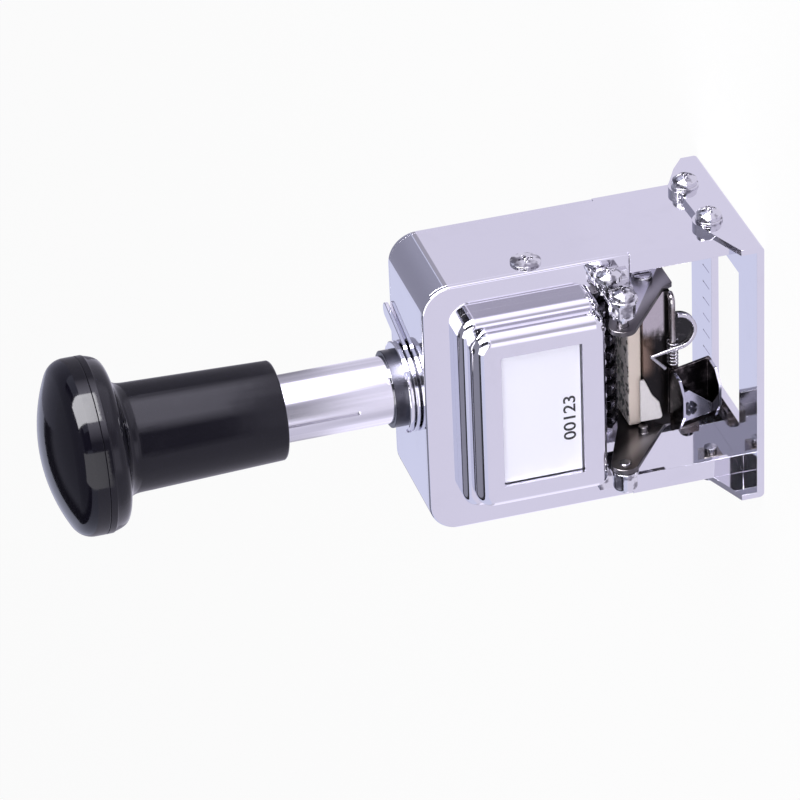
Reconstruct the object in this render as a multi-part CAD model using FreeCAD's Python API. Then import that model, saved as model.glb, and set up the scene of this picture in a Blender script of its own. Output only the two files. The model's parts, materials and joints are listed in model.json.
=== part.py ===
import FreeCAD, Part
import math
import os

# Hand numbering machine, in millimetres. +Z runs up the plunger to the knob and -Y is the front
# with the card window. Z = 0 is the underside of the base plate, under the middle of the frame.

# Fits shared by all pieces
gap = 0.3
running_fit = 0.04
overrun = 2.0

# Frame shell: a bent strip with rounded top corners and flanged legs
frame_width = 63.4
frame_depth = 26.9
frame_height = 77.0
frame_sheet = 1.3
frame_corner = 7.0
leg_flange = 4.8
cover_seam = 28.5

# Base plate with its printing window, its marks and its two side tabs
base_sheet = 1.75
base_front = 22.7
base_rear = 21.8
window_half_width = 20.0
window_front = 10.65
window_rear = 8.0
mark_width = 0.3
mark_depth = 0.15
mark_length = 4.5
tab_sheet = 1.4
tab_dip_height = 9.6
tab_front_height = 5.4
tab_rear_height = 4.2
tab_lobe_radius = 3.8
tab_shoulder = 7.4

# Base screws, their washers and nuts
base_screw_front = -7.0
base_screw_rear = 9.5
base_screw_height = 7.5
pan_head_radius = 2.85
pan_head_height = 2.3
screw_radius = 1.5
screw_end = 1.4
washer_radius = 3.15
washer_sheet = 0.6
nut_half_width = 2.3
nut_height = 1.7
dome_share = 0.5
head_rim_share = 0.2
recess_width = 0.8
recess_length = 3.4
recess_depth = 1.0

# Covers: plates with a stepped embossed box that is open at the bottom
cover_sheet = 1.2
emboss_half_width = 24.5
emboss_top = 70.0
emboss_depth = 9.45
emboss_corner = 4.2
emboss_ledge = 2.0
emboss_round = 1.9
emboss_front_round = 2.6
emboss_low_share = 0.65
rear_emboss_depth = 6.0
cover_tab_sheet = 1.0
cover_tab_length = 8.0
cover_tab_height = 12.0

# Card in its window
card_frame_side = 5.6
card_frame_below = 6.0
card_frame_above = 6.1
card_margin = 1.1
card_clearance = 0.3
holder_margin = 1.8
card_sheet = 0.4
holder_sheet = 0.6

# Side screws through wall, cover tab and pin bracket
side_screw_y = -8.5
side_screw_drop = 1.4
oval_head_radius = 3.5
oval_head_rise = 0.9
side_screw_radius = 1.35
side_screw_length = 5.4

# Pin brackets and the cross pin that the return spring stands on
bracket_sheet = 1.2
bracket_rear = 4.6
bracket_margin = 6.3
cross_pin_radius = 1.4
cross_pin_rise = 3.9
seat_thickness = 1.2

# Plunger tube, its guide bush and the collar on top of the frame
tube_radius = 7.75
tube_wall = 1.0
tube_top = 128.0
bush_radius = 8.9
bush_bottom = 62.0
bush_top = 82.5
bush_flange_radius = 12.0
bush_flange_height = 2.2
collar_radius = 10.6
collar_height = 1.3
collar_round = 0.35
spanner_notch = 1.8
groove_width = 1.1
groove_depth = 0.6
groove_bottom = 91.0
lock_notch_height = 82.9
lock_notch_width = 1.6

# Lock lever round the bush
lever_sheet = 0.9
lever_half_width = 1.8
lever_root_x = 9.4
lever_tip_x = 12.4
lever_tip_y = 13.4

# Knob: grip with a flared rim and a domed cap
knob_bottom = 108.0
knob_seam = 151.2
knob_top = 162.2
knob_radius = 20.2
grip_bottom_radius = 11.4
grip_neck_radius = 12.4
grip_neck_height = 139.3
grip_edge_round = 0.6
rim_height_shares = (0.455, 0.527, 0.655, 0.873)
rim_radius_shares = (0.678, 0.822, 0.947, 0.995)
cap_band = 2.5
cap_shoulder = 4.7
skirt_bore = 9.7
skirt_bore_depth = 5.0
grip_web = 6.0
bolt_radius = 2.45
bolt_head_radius = 4.4
bolt_head_height = 3.4
cap_well_radius = 8.0
cap_spigot = 3.0
plug_height = 8.0

# Return spring inside the tube
spring_wire = 1.2
spring_radius = 5.0
spring_turns = 16

# Carriage: yoke plate, cheeks and collar under the tube
yoke_sheet = 1.6
cheek_half_gap = 18.6
cheek_sheet = 1.4
cheek_half_depth = 7.0
cheek_eye = 5.0
yoke_clearance = 0.5
carriage_collar_radius = 10.0
carriage_collar_height = 1.6

# Number wheels on their axle
wheel_count = 8
wheel_pitch = 4.4
axle_height = 37.3
axle_radius = 2.0
type_radius = 9.3
type_core_radius = 8.0
type_half_width = 2.0
type_length = 2.8
ratchet_radius = 7.4
ratchet_core_radius = 6.5
ratchet_length = 1.3
digits = 10
clip_radius = 3.2
clip_sheet = 0.6
clip_slot = 2.2

# Detent fingers: a comb of leaf springs in front of the wheels
finger_sheet = 0.45
finger_width = 2.3
finger_play = 0.35
finger_root_angle = 42.0
finger_end_angle = 106.0
finger_hook = 1.1

# Pawl frame that swings about the axle
pawl_arm_sheet = 1.0
pawl_eye = 3.6
pawl_rod_radius = 0.8
pawl_rod_orbit = 10.9
pawl_rest_angle = 30.0
pawl_sheet = 0.9
pawl_half_angle = 7.0

# Ink arms, tray, pad and what hangs on them; the pivot stands in front of the frame
pivot_front = 21.5
pivot_drop = 4.3
pivot_lip = 0.4
pivot_pin_radius = 1.3
arm_sheet = 1.2
arm_eye_radius = 3.2
arm_half_gap = 17.6
arm_length = 25.5
arm_drop = 16.5
arm_corner = 0.6
arm_outline_shares = ((0.60, 0.20), (0.90, 0.34), (1.0, 0.51), (0.87, 1.0), (0.55, 1.0), (0.51, 0.85))
arm_pin_radius = 1.1
arm_pin_length = 1.5
arm_pin_front = 10.2
arm_pin_rise = 0.7
tray_heel = 1.6
pad_half_length = 17.0
pad_front = 8.0
pad_rear = 5.4
pad_height = 3.6
pad_round = 0.5
tray_sheet = 0.9
skirt_height = 6.5
skirt_fold = 1.3
holder_lip = 1.1
fin_right = -4.4
fin_left = -15.4
fin_drop = 4.4
fin_round = 0.8
fin_sheet = 0.7
stud_head_radius = 2.4
stud_head_height = 1.3
stud_front = 3.5
stud_drop = 1.7
slot_width = 0.6
rear_stud_rear = 1.6
rear_stud_drop = 1.0
spring_rod_radius = 0.75
spring_rod_rise = 0.06
spring_rod_left = -16.0
knuckle_radius = 1.3
coil_left = -0.6
coil_wire = 0.4
coil_radius = 1.2
coil_turns = 7
coil_pitch = 0.87
clip_wire = 0.4
clip_bow_x = 3.2
clip_bow_rise = 5.7
clip_upper_x = 4.7
clip_upper_drop = 1.7
clip_lower_x = -0.4
clip_lower_rise = 2.5
tongue_radius = 4.7
tongue_centre = 6.8
tongue_neck = 1.5
tongue_rim = 0.9

# Release yoke: two rounded ears, a web and a bridge, leaning forward
yoke_left = -17.2
yoke_right = -1.2
yoke_rise = 1.3
yoke_height_share = 0.382
yoke_web_front = 11.4
ear_reach = 4.4
yoke_lean_angle = 16.0
yoke_plate = 0.8
ear_outline_shares = ((0.12, 0.62), (0.35, 1.0), (0.68, 1.0), (0.90, 0.62))
gusset_reach_share = 0.45
gusset_outline_shares = ((0.17, 0), (0.66, 0), (0.66, 0.3), (0.30, 1), (0.17, 1))
yoke_screw_share = 0.36
yoke_screw_radius = 1.7
yoke_screw_height = 1.0

# Pivot brackets on the front cover, with pivots and spring posts
ear_inner = 25.2
ear_sheet = 1.0
ear_foot_width = 3.3
ear_foot_half_height = 3.8
ear_radius = 3.5
left_ear_radius = 3.1
pivot_hex_flats = 5.4
pivot_hex_length = 3.0
pivot_washer_radius = 2.9
pivot_washer_sheet = 0.7
left_head_radius = 2.8
left_head_height = 4.4
left_head_round = 1.3
post_setback = 4.5
post_rise = 1.8
post_stem_radius = 1.6
post_head_radius = 3.1

# Repeat selector on the rear cover
selector_height = 46.0
selector_arm = 13.0
selector_half_width = 2.6
selector_sheet = 1.2
selector_pin_radius = 1.6
selector_knob_radius = 3.1
selector_cam_radius = 6.0
selector_cam_height = 2.4
selector_head_radius = 3.0
selector_head_height = 1.6

# Places that follow from the sizes above
half_width = frame_width / 2
half_depth = frame_depth / 2
wall_inside = half_width - frame_sheet
tab_outside = half_width + tab_sheet
cover_inside = half_depth - cover_sheet
bracket_outside = wall_inside - cover_tab_sheet
bracket_inside = bracket_outside - bracket_sheet
cheek_outside = cheek_half_gap + cheek_sheet
stroke = axle_height - type_radius
yoke_bottom = axle_height + type_radius + yoke_clearance
yoke_top = yoke_bottom + yoke_sheet
cross_pin_height = yoke_top + cross_pin_rise
side_screw_height = cross_pin_height - side_screw_drop
pawl_arm_inside = cheek_outside + gap
pawl_arm_outside = pawl_arm_inside + pawl_arm_sheet
clip_inside = pawl_arm_outside + gap
axle_end = clip_inside + clip_sheet + gap
arm_outside = arm_half_gap + arm_sheet
pad_top = axle_height - type_radius - gap
pad_bottom = pad_top - pad_height
skirt_bottom = pad_bottom - skirt_height
stud_height = pad_bottom - stud_drop
rear_stud_height = pad_bottom - rear_stud_drop
arm_pin_height = pad_bottom + arm_pin_rise
left_ear_inner = arm_outside + gap
left_ear_outer = left_ear_inner + ear_sheet
spring_rod_height = skirt_bottom + spring_rod_rise
clip_bow_height = skirt_bottom + clip_bow_rise
clip_upper_height = skirt_bottom - clip_upper_drop
clip_lower_height = skirt_bottom + clip_lower_rise
yoke_height = stroke * yoke_height_share
yoke_upper = skirt_bottom + yoke_rise
yoke_lower = yoke_upper - yoke_height
pivot_height = axle_height - pivot_drop
post_height = pivot_height + post_rise
post_front = pivot_front - post_setback
emboss_bottom = pivot_height + ear_radius + pivot_lip
card_half_width = emboss_half_width - emboss_ledge - card_frame_side
card_bottom = emboss_bottom + card_frame_below
card_top = emboss_top - emboss_ledge - card_frame_above
skirt_front = pad_front + tray_sheet
rod_front = skirt_front + knuckle_radius + gap
rod_bend = rod_front - skirt_front
knuckle_left = spring_rod_left + spring_rod_radius + rod_bend + gap
lever_bottom = frame_height + gap
collar_bottom = lever_bottom + lever_sheet + gap
spring_bottom = cross_pin_height + cross_pin_radius + seat_thickness
plug_bottom = tube_top - plug_height
web_top = tube_top + grip_web
pivot_reach = pivot_front + ear_radius

Vec = FreeCAD.Vector
X_AXIS = Vec(1, 0, 0)
Y_AXIS = Vec(0, 1, 0)
Z_AXIS = Vec(0, 0, 1)
ORIGIN = Vec(0, 0, 0)


def export(name, pieces):
    """Write one node from a shape or from a list of separate solids."""
    shape = Part.makeCompound(pieces) if isinstance(pieces, list) else pieces
    shape.exportStep("parts/" + name + ".step")


def block(x0, x1, y0, y1, z0, z1):
    return Part.makeBox(x1 - x0, y1 - y0, z1 - z0, Vec(x0, y0, z0))


def rod_x(radius, x0, x1, y, z):
    return Part.makeCylinder(radius, x1 - x0, Vec(x0, y, z), X_AXIS)


def rod_y(radius, y0, y1, x, z):
    return Part.makeCylinder(radius, y1 - y0, Vec(x, y0, z), Y_AXIS)


def rod_z(radius, z0, z1, x=0, y=0):
    return Part.makeCylinder(radius, z1 - z0, Vec(x, y, z0), Z_AXIS)


def fused(pieces):
    """Join touching pieces of one sheet or casting into one solid."""
    whole = pieces[0].fuse(pieces[1:])
    return whole.removeSplitter()


def mirrored_x(shape):
    return shape.mirror(ORIGIN, X_AXIS)


def both_sides(shape):
    return [shape, mirrored_x(shape)]


def closed_face(points):
    return Part.Face(Part.makePolygon(points + [points[0]]))


def plate_yz(points, x0, x1):
    """A flat plate whose outline is given as (y, z) points."""
    return closed_face([Vec(x0, y, z) for y, z in points]).extrude(Vec(x1 - x0, 0, 0))


def plate_xz(points, y0, y1):
    """A flat plate whose outline is given as (x, z) points."""
    return closed_face([Vec(x, y0, z) for x, z in points]).extrude(Vec(0, y1 - y0, 0))


def strap(start, end, half, thickness):
    """A strap with round ends between two points, grown along the thickness vector."""
    along = (end - start).normalize()
    side = along.cross(thickness).normalize() * half
    along = along * half
    edges = [
        Part.makeLine(start + side, end + side),
        Part.Arc(end + side, end + along, end - side).toShape(),
        Part.makeLine(end - side, start - side),
        Part.Arc(start - side, start - along, start + side).toShape(),
    ]
    return Part.Face(Part.Wire(edges)).extrude(thickness)


def rounded_panel(half, bottom, top, top_round, bottom_round, y0, y1):
    """A panel with rounded corners, seen from the front, between two depths."""
    diagonal = 1 - math.sqrt(0.5)

    def at(x, z):
        return Vec(x, y0, z)

    def corner(x, z, radius, sx, sz):
        middle = at(x - sx * radius * diagonal, z - sz * radius * diagonal)
        flank = at(x, z - sz * radius)
        ledge = at(x - sx * radius, z)
        return flank, middle, ledge

    right_low = corner(half, bottom, bottom_round, 1, -1)
    right_top = corner(half, top, top_round, 1, 1)
    left_top = corner(-half, top, top_round, -1, 1)
    left_low = corner(-half, bottom, bottom_round, -1, -1)
    edges = [
        Part.makeLine(left_low[2], right_low[2]),
        Part.Arc(right_low[2], right_low[1], right_low[0]).toShape(),
        Part.makeLine(right_low[0], right_top[0]),
        Part.Arc(right_top[0], right_top[1], right_top[2]).toShape(),
        Part.makeLine(right_top[2], left_top[2]),
        Part.Arc(left_top[2], left_top[1], left_top[0]).toShape(),
        Part.makeLine(left_top[0], left_low[0]),
        Part.Arc(left_low[0], left_low[1], left_low[2]).toShape(),
    ]
    return Part.Face(Part.Wire(edges)).extrude(Vec(0, y1 - y0, 0))


def edges_at(shape, test):
    """The edges whose middle point passes the test."""
    found = []
    for edge in shape.Edges:
        middle = edge.valueAt((edge.FirstParameter + edge.LastParameter) / 2)
        if test(middle):
            found.append(edge)
    return found


def cross_recess(top):
    """The cutter of a cross recess in a screw head whose top is at this height."""
    arm = block(-recess_length / 2, recess_length / 2, -recess_width / 2, recess_width / 2,
                top - recess_depth, top + overrun)
    other = arm.copy()
    other.rotate(ORIGIN, Z_AXIS, 90)
    return arm.fuse(other)


def domed_head(radius, height):
    """A round head standing on Z = 0 with a spherical top."""
    rise = height * dome_share
    ball_radius = (radius ** 2 + rise ** 2) / (2 * rise)
    ball = Part.makeSphere(ball_radius, Vec(0, 0, height - ball_radius))
    return rod_z(radius, 0, height).common(ball)


def pan_screw(head_radius, head_height, shank_radius, shank_length):
    """A pan-head cross screw standing on Z = 0, with its shank below."""
    head = domed_head(head_radius, head_height)
    rim = [edge for edge in head.Edges
           if edge.Length > 6 * head_radius and edge.CenterOfMass.z > gap]
    head = head.makeFillet(head_height * head_rim_share, rim)
    screw = head.fuse(rod_z(shank_radius, -shank_length, 0)).removeSplitter()
    return screw.cut(cross_recess(head_height))


def turned_to_x(shape, side, x, y, z):
    """Turn a piece made along +Z so that it points along +X or -X, and put it in place."""
    placed = shape.copy()
    placed.rotate(ORIGIN, Y_AXIS, 90 * side)
    placed.translate(Vec(x, y, z))
    return placed


def biarc(p0, t0, p1, t1):
    """Two arcs that join two points along their two directions."""
    chord = p1 - p0
    total = t0 + t1
    a = total.dot(total) - 4
    b = -2 * chord.dot(total)
    c = chord.dot(chord)
    reach = (-b - math.sqrt(b * b - 4 * a * c)) / (2 * a)
    q0 = p0 + t0 * reach
    q1 = p1 - t1 * reach
    joint = (q0 + q1) * 0.5
    return [arc_from_corner(p0, q0, joint), arc_from_corner(joint, q1, p1)]


def arc_from_corner(start, corner, end):
    middle = (start + end) * 0.5
    cosine = (end - start).Length / 2 / (corner - start).Length
    return Part.Arc(start, middle + (corner - middle) * (cosine / (1 + cosine)), end).toShape()


def swept(path, profile):
    """A solid wire whose section follows the path."""
    shell = Part.BRepOffsetAPI.MakePipeShell(path)
    shell.add(profile)
    shell.build()
    shell.makeSolid()
    return shell.shape()


def coil_spring(radius, wire, turns, pitch, label):
    """An unbroken wire coil round +Z from Z = 0, made of half turns."""
    rise = pitch / (2 * math.pi)
    slope = Vec(0, radius, rise).Length
    stations = []
    for half_turn in range(2 * turns + 1):
        angle = math.pi * half_turn
        point = Vec(radius * math.cos(angle), radius * math.sin(angle), rise * angle)
        heading = Vec(-radius * math.sin(angle), radius * math.cos(angle), rise) * (1 / slope)
        stations.append((point, heading))
    edges = []
    for first, second in zip(stations, stations[1:]):
        edges += biarc(first[0], first[1], second[0], second[1])
    path = Part.Wire(edges)
    start, heading = stations[0]
    profile = Part.Wire([Part.makeCircle(wire / 2, start, heading)])
    solid = swept(path, profile)
    least = pitch * radius / slope - wire
    print(label, "least gap between turns", round(least, 3), "valid", solid.isValid())
    return solid


# Fixed frame

def frame_shell():
    y0, y1 = -half_depth, half_depth
    outer = rounded_panel(half_width, base_sheet, frame_height, frame_corner, frame_sheet / 4, y0, y1)
    inner = rounded_panel(wall_inside, -overrun, frame_height - frame_sheet,
                          frame_corner - frame_sheet, frame_sheet / 4, y0 - overrun, y1 + overrun)
    shell = outer.cut(inner)
    for low, high in ((y0 - overrun, -cover_inside), (cover_inside, y1 + overrun)):
        shell = shell.cut(block(-frame_width, frame_width, low, high, cover_seam, frame_height + overrun))
    pieces = [shell]
    for y in (y0, y1 - frame_sheet):
        flange = block(half_width - leg_flange, wall_inside + frame_sheet / 2, y, y + frame_sheet,
                       base_sheet, cover_seam)
        pieces += both_sides(flange)
    shell = fused(pieces)
    shell = shell.cut(rod_z(bush_radius, frame_height - frame_sheet - overrun, frame_height + overrun))
    for side in (1, -1):
        hole = Part.makeCone(side_screw_radius, oval_head_radius, frame_sheet)
        shell = shell.cut(turned_to_x(hole, side, side * wall_inside, side_screw_y, side_screw_height))
        for y in (base_screw_front, base_screw_rear):
            x0, x1 = sorted((side * (wall_inside - overrun), side * (half_width + overrun)))
            shell = shell.cut(rod_x(screw_radius, x0, x1, y, base_screw_height))
    return shell


def base_plate():
    plate = block(-tab_outside, tab_outside, -base_front, base_rear, 0, base_sheet)
    window = block(-window_half_width, window_half_width, -window_front, window_rear,
                   -overrun, base_sheet + overrun)
    plate = plate.cut(window)
    front, rear = base_screw_front, base_screw_rear
    outline = [
        (-base_front, 0),
        (-base_front, tab_front_height),
        (front - tab_lobe_radius / 2, base_screw_height + tab_lobe_radius * 0.85),
        (front + tab_lobe_radius, base_screw_height + tab_lobe_radius / 2),
        ((front + rear) / 2 + tab_lobe_radius / 2, tab_dip_height),
        (rear - tab_lobe_radius, base_screw_height + tab_lobe_radius / 2),
        (rear + tab_lobe_radius / 2, base_screw_height + tab_lobe_radius * 0.85),
        (base_rear - tab_rear_height, tab_shoulder),
        (base_rear, tab_rear_height),
        (base_rear, 0),
    ]
    tab = plate_yz(outline, half_width, tab_outside)
    for y in (front, rear):
        tab = tab.fuse(rod_x(tab_lobe_radius, half_width, tab_outside, y, base_screw_height))
    for y in (front, rear):
        tab = tab.cut(rod_x(screw_radius, half_width - overrun, tab_outside + overrun, y, base_screw_height))
    plate = fused([plate] + both_sides(tab))
    bends = edges_at(plate, lambda p: p.z < base_sheet / 4 and abs(p.x) > half_width + tab_sheet / 2)
    bends = [edge for edge in bends if edge.Length > base_front]
    plate = plate.makeFillet(tab_sheet * 0.8, bends)
    for index in range(wheel_count + 1):
        x = (index - wheel_count / 2) * wheel_pitch
        plate = plate.cut(block(x - mark_width / 2, x + mark_width / 2, window_rear + mark_length / 3,
                                window_rear + mark_length * 4 / 3, base_sheet - mark_depth,
                                base_sheet + overrun))
    return plate


def base_screw_places():
    return [(side, y) for side in (1, -1) for y in (base_screw_front, base_screw_rear)]


def base_screws():
    grip = washer_sheet + tab_sheet + frame_sheet + nut_height + screw_end
    screw = pan_screw(pan_head_radius, pan_head_height, screw_radius, grip)
    return [turned_to_x(screw, side, side * (tab_outside + washer_sheet), y, base_screw_height)
            for side, y in base_screw_places()]


def base_washers():
    ring = rod_z(washer_radius, 0, washer_sheet).cut(rod_z(screw_radius, -overrun, washer_sheet + overrun))
    return [turned_to_x(ring, side, side * tab_outside, y, base_screw_height)
            for side, y in base_screw_places()]


def base_nuts():
    nut = block(-nut_half_width, nut_half_width, -nut_half_width, nut_half_width, 0, nut_height)
    nut = nut.cut(rod_z(screw_radius, -overrun, nut_height + overrun))
    return [turned_to_x(nut, side, side * (wall_inside - nut_height), y, base_screw_height)
            for side, y in base_screw_places()]


def embossed_box(depth, inset, low):
    """The stepped box in front of a cover plate, shrunk by an inset, down to a lower end."""
    levels = []
    start = -cover_inside
    for step in range(2):
        half = emboss_half_width - step * emboss_ledge - inset
        top = emboss_top - step * emboss_ledge - inset
        reach = -half_depth - depth * (step + 1) / 2 + inset
        round_low = emboss_corner * emboss_low_share if not inset else inset / 4
        level = rounded_panel(half, low, top, emboss_corner - inset, round_low, start, reach)
        if not inset:
            front = edges_at(level, lambda p: p.y < reach + gap / 2)
            level = level.makeFillet(emboss_front_round if step else emboss_round, front)
        levels.append(level)
    return fused(levels)


def cover(depth):
    """A cover seen as the front one: plate, hollow embossed box and two inner side tabs."""
    plate = rounded_panel(half_width, cover_seam, frame_height, frame_corner, frame_sheet / 4,
                          -half_depth, -cover_inside)
    edge = edges_at(plate, lambda p: p.y < -half_depth + gap / 2 and p.z > cover_seam + gap)
    plate = plate.makeFillet(frame_sheet / 3, edge)
    hollow = embossed_box(depth, cover_sheet, cover_seam - overrun)
    hollow = hollow.fuse(block(-emboss_half_width + cover_sheet, emboss_half_width - cover_sheet,
                               -half_depth - overrun, -cover_inside + overrun,
                               cover_seam - overrun, emboss_bottom))
    shell = plate.fuse(embossed_box(depth, 0, emboss_bottom)).cut(hollow)
    tab = block(bracket_outside, wall_inside, -cover_inside - cover_sheet / 2,
                -cover_inside + cover_tab_length,
                side_screw_height - cover_tab_height / 2, side_screw_height + cover_tab_height / 2)
    return fused([shell] + both_sides(tab))


def front_cover():
    shell = cover(emboss_depth)
    window = block(-card_half_width, card_half_width, -half_depth - emboss_depth - overrun,
                   -half_depth - emboss_depth + cover_sheet, card_bottom, card_top)
    shell = shell.cut(window)
    shell = shell.cut(rod_x(side_screw_radius, -half_width, half_width, side_screw_y, side_screw_height))
    return shell


def rear_cover():
    shell = cover(rear_emboss_depth)
    shell.rotate(ORIGIN, Z_AXIS, 180)
    return shell.cut(rod_y(selector_pin_radius, half_depth, base_rear + emboss_depth, 0, selector_height))


def card_front():
    return -half_depth - emboss_depth + cover_sheet


def number_card():
    front = card_front()
    half = card_half_width - card_clearance
    return block(-half, half, front, front + card_sheet,
                 card_bottom + card_clearance, card_top - card_clearance)


def card_holder():
    front = card_front() + card_sheet
    inside = emboss_half_width - emboss_ledge - cover_sheet
    plate = block(-inside, inside, front, front + holder_sheet,
                  card_bottom - holder_margin, card_top + holder_margin)
    lip = block(-inside, -card_half_width - card_margin, card_front(), front + holder_sheet / 2,
                card_bottom - holder_margin, card_top + holder_margin)
    return fused([plate] + both_sides(lip))


def side_screws():
    cone = Part.makeCone(side_screw_radius, oval_head_radius, frame_sheet)
    cone.translate(Vec(0, 0, -frame_sheet))
    dome = domed_head(oval_head_radius, oval_head_rise)
    shank = rod_z(side_screw_radius, -side_screw_length, -frame_sheet)
    screw = fused([cone, dome, shank]).cut(cross_recess(oval_head_rise))
    return [turned_to_x(screw, side, side * half_width, side_screw_y, side_screw_height) for side in (1, -1)]


def pin_bracket(side):
    x0, x1 = sorted((side * bracket_inside, side * bracket_outside))
    low, high = sorted((cross_pin_height, side_screw_height))
    plate = block(x0, x1, -cover_inside + cover_sheet / 2, bracket_rear,
                  low - bracket_margin, high + bracket_margin)
    boss_x0, boss_x1 = sorted((side * (bracket_inside - bracket_sheet), side * bracket_inside))
    boss = rod_x(2 * cross_pin_radius, boss_x0, boss_x1, 0, cross_pin_height)
    bracket = fused([plate, boss])
    reach = x1 - x0 + 2 * overrun
    bracket = bracket.cut(rod_x(cross_pin_radius, x0 - reach, x1 + reach, 0, cross_pin_height))
    return bracket.cut(rod_x(side_screw_radius, x0 - reach, x1 + reach, side_screw_y, side_screw_height))


def cross_pin():
    return rod_x(cross_pin_radius, -bracket_outside, bracket_outside, 0, cross_pin_height)


def spring_seat():
    seat = rod_z(tube_radius - tube_wall - gap, cross_pin_height, spring_bottom)
    return seat.cut(rod_x(cross_pin_radius, -half_width, half_width, 0, cross_pin_height))


def plunger_bush():
    under = frame_height - frame_sheet
    body = fused([
        rod_z(bush_radius, bush_bottom, bush_top),
        rod_z(bush_flange_radius, under - bush_flange_height, under),
    ])
    return body.cut(rod_z(tube_radius + running_fit, bush_bottom - overrun, bush_top + overrun))


def collar_nut():
    top = collar_bottom + collar_height
    ring = rod_z(collar_radius, collar_bottom, top)
    rims = [edge for edge in ring.Edges if edge.Curve.TypeId == "Part::GeomCircle"]
    ring = ring.makeFillet(collar_round, rims)
    ring = ring.cut(rod_z(bush_radius, collar_bottom - overrun, top + overrun))
    for turn in range(4):
        notch = block(collar_radius - collar_round * 2, collar_radius + overrun,
                      -spanner_notch / 2, spanner_notch / 2, collar_bottom - overrun, top + overrun)
        notch.rotate(ORIGIN, Z_AXIS, 45 + 90 * turn)
        ring = ring.cut(notch)
    return ring


def pivot_bracket(inner, radius):
    """An angle on the cover plate whose ear carries the pivot, on the right side."""
    outer = inner + ear_sheet
    low = pivot_height - ear_foot_half_height
    high = pivot_height + ear_foot_half_height
    foot = block(inner, ear_inner + ear_foot_width, -half_depth - ear_sheet, -half_depth, low, high)
    ear = strap(Vec(inner, -half_depth - ear_sheet - radius, pivot_height),
                Vec(inner, -pivot_front, pivot_height), radius, Vec(ear_sheet, 0, 0))
    web = block(inner, outer, -half_depth - ear_sheet - radius, -half_depth, low, high)
    bracket = fused([foot, ear, web])
    return bracket.cut(rod_x(pivot_pin_radius, inner - overrun, outer + overrun,
                             -pivot_front, pivot_height))


def right_pivot_bracket():
    bracket = pivot_bracket(ear_inner, ear_radius)
    return bracket.cut(rod_x(screw_radius, ear_inner - overrun, ear_inner + ear_sheet + overrun,
                             -post_front, post_height))


def left_pivot_bracket():
    """The left ear stands close to its arm, on a foot that reaches out to the cover plate."""
    return mirrored_x(pivot_bracket(left_ear_inner, left_ear_radius))


def spring_post():
    """A pan-head screw on a stem that holds its head clear of the pivot screw beside it."""
    stem = pan_head_height + gap
    screw = pan_screw(post_head_radius, pan_head_height, screw_radius, stem + ear_sheet)
    screw = screw.fuse(rod_z(post_stem_radius, -stem, 0)).removeSplitter()
    return turned_to_x(screw, 1, ear_inner + ear_sheet + stem, -post_front, post_height)


def hexagon(flats, z0, z1):
    radius = flats / math.sqrt(3)
    points = []
    for corner in range(6):
        angle = math.radians(60 * corner)
        points.append(Vec(radius * math.cos(angle), radius * math.sin(angle), z0))
    return closed_face(points).extrude(Vec(0, 0, z1 - z0))


def right_pivot_stud():
    """Flanged hexagon stud inside the right ear; its pin carries the arm."""
    low = ear_inner - pivot_hex_length
    flange = rod_z(pivot_washer_radius, low - pivot_washer_sheet, low)
    stud = hexagon(pivot_hex_flats, low - pivot_washer_sheet / 2, ear_inner)
    pin = rod_z(pivot_pin_radius, arm_half_gap - gap, ear_inner + ear_sheet)
    return turned_to_x(fused([flange, stud, pin]), 1, 0, -pivot_front, pivot_height)


def right_pivot_screw():
    screw = pan_screw(pan_head_radius, pan_head_height, screw_radius, overrun)
    screw = screw.cut(rod_z(2 * pan_head_radius, -2 * overrun, 0))
    return turned_to_x(screw, 1, ear_inner + ear_sheet, -pivot_front, pivot_height)


def left_pivot_screw():
    """Round-headed screw outside the left ear; its pin carries the arm."""
    end = left_ear_outer + left_head_height
    head = rod_z(left_head_radius, left_ear_outer, end)
    rim = [edge for edge in head.Edges
           if edge.Curve.TypeId == "Part::GeomCircle" and edge.CenterOfMass.z > end - gap]
    head = head.makeFillet(left_head_round, rim)
    screw = head.fuse(rod_z(pivot_pin_radius, arm_half_gap - gap, left_ear_outer)).removeSplitter()
    return turned_to_x(screw, -1, 0, -pivot_front, pivot_height)


# Plunger with knob and carriage

def plunger_tube():
    tube = rod_z(tube_radius, yoke_top, tube_top)
    tube = tube.cut(rod_z(tube_radius - tube_wall, yoke_top - overrun, tube_top + overrun))
    play = cross_pin_radius + gap
    slot = strap(Vec(-tube_radius - overrun, 0, cross_pin_height),
                 Vec(-tube_radius - overrun, 0, cross_pin_height + stroke),
                 play, Vec(2 * (tube_radius + overrun), 0, 0))
    tube = tube.cut(slot)
    groove = strap(Vec(0, -tube_radius - overrun, groove_bottom),
                   Vec(0, -tube_radius - overrun, knob_bottom + overrun),
                   groove_width / 2, Vec(0, overrun + groove_depth, 0))
    tube = tube.cut(groove)
    notch = rod_y(lock_notch_width / 2, -tube_radius - overrun, -tube_radius + groove_depth,
                  0, lock_notch_height)
    notch.rotate(ORIGIN, Z_AXIS, 45)
    return tube.cut(notch)


def tube_plug():
    plug = rod_z(tube_radius - tube_wall, plug_bottom, tube_top)
    return plug.cut(rod_z(bolt_radius, plug_bottom - overrun, tube_top + overrun))


def revolved(profile):
    face = Part.Face(Part.Wire(profile))
    return face.revolve(ORIGIN, Z_AXIS, 360)


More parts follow.
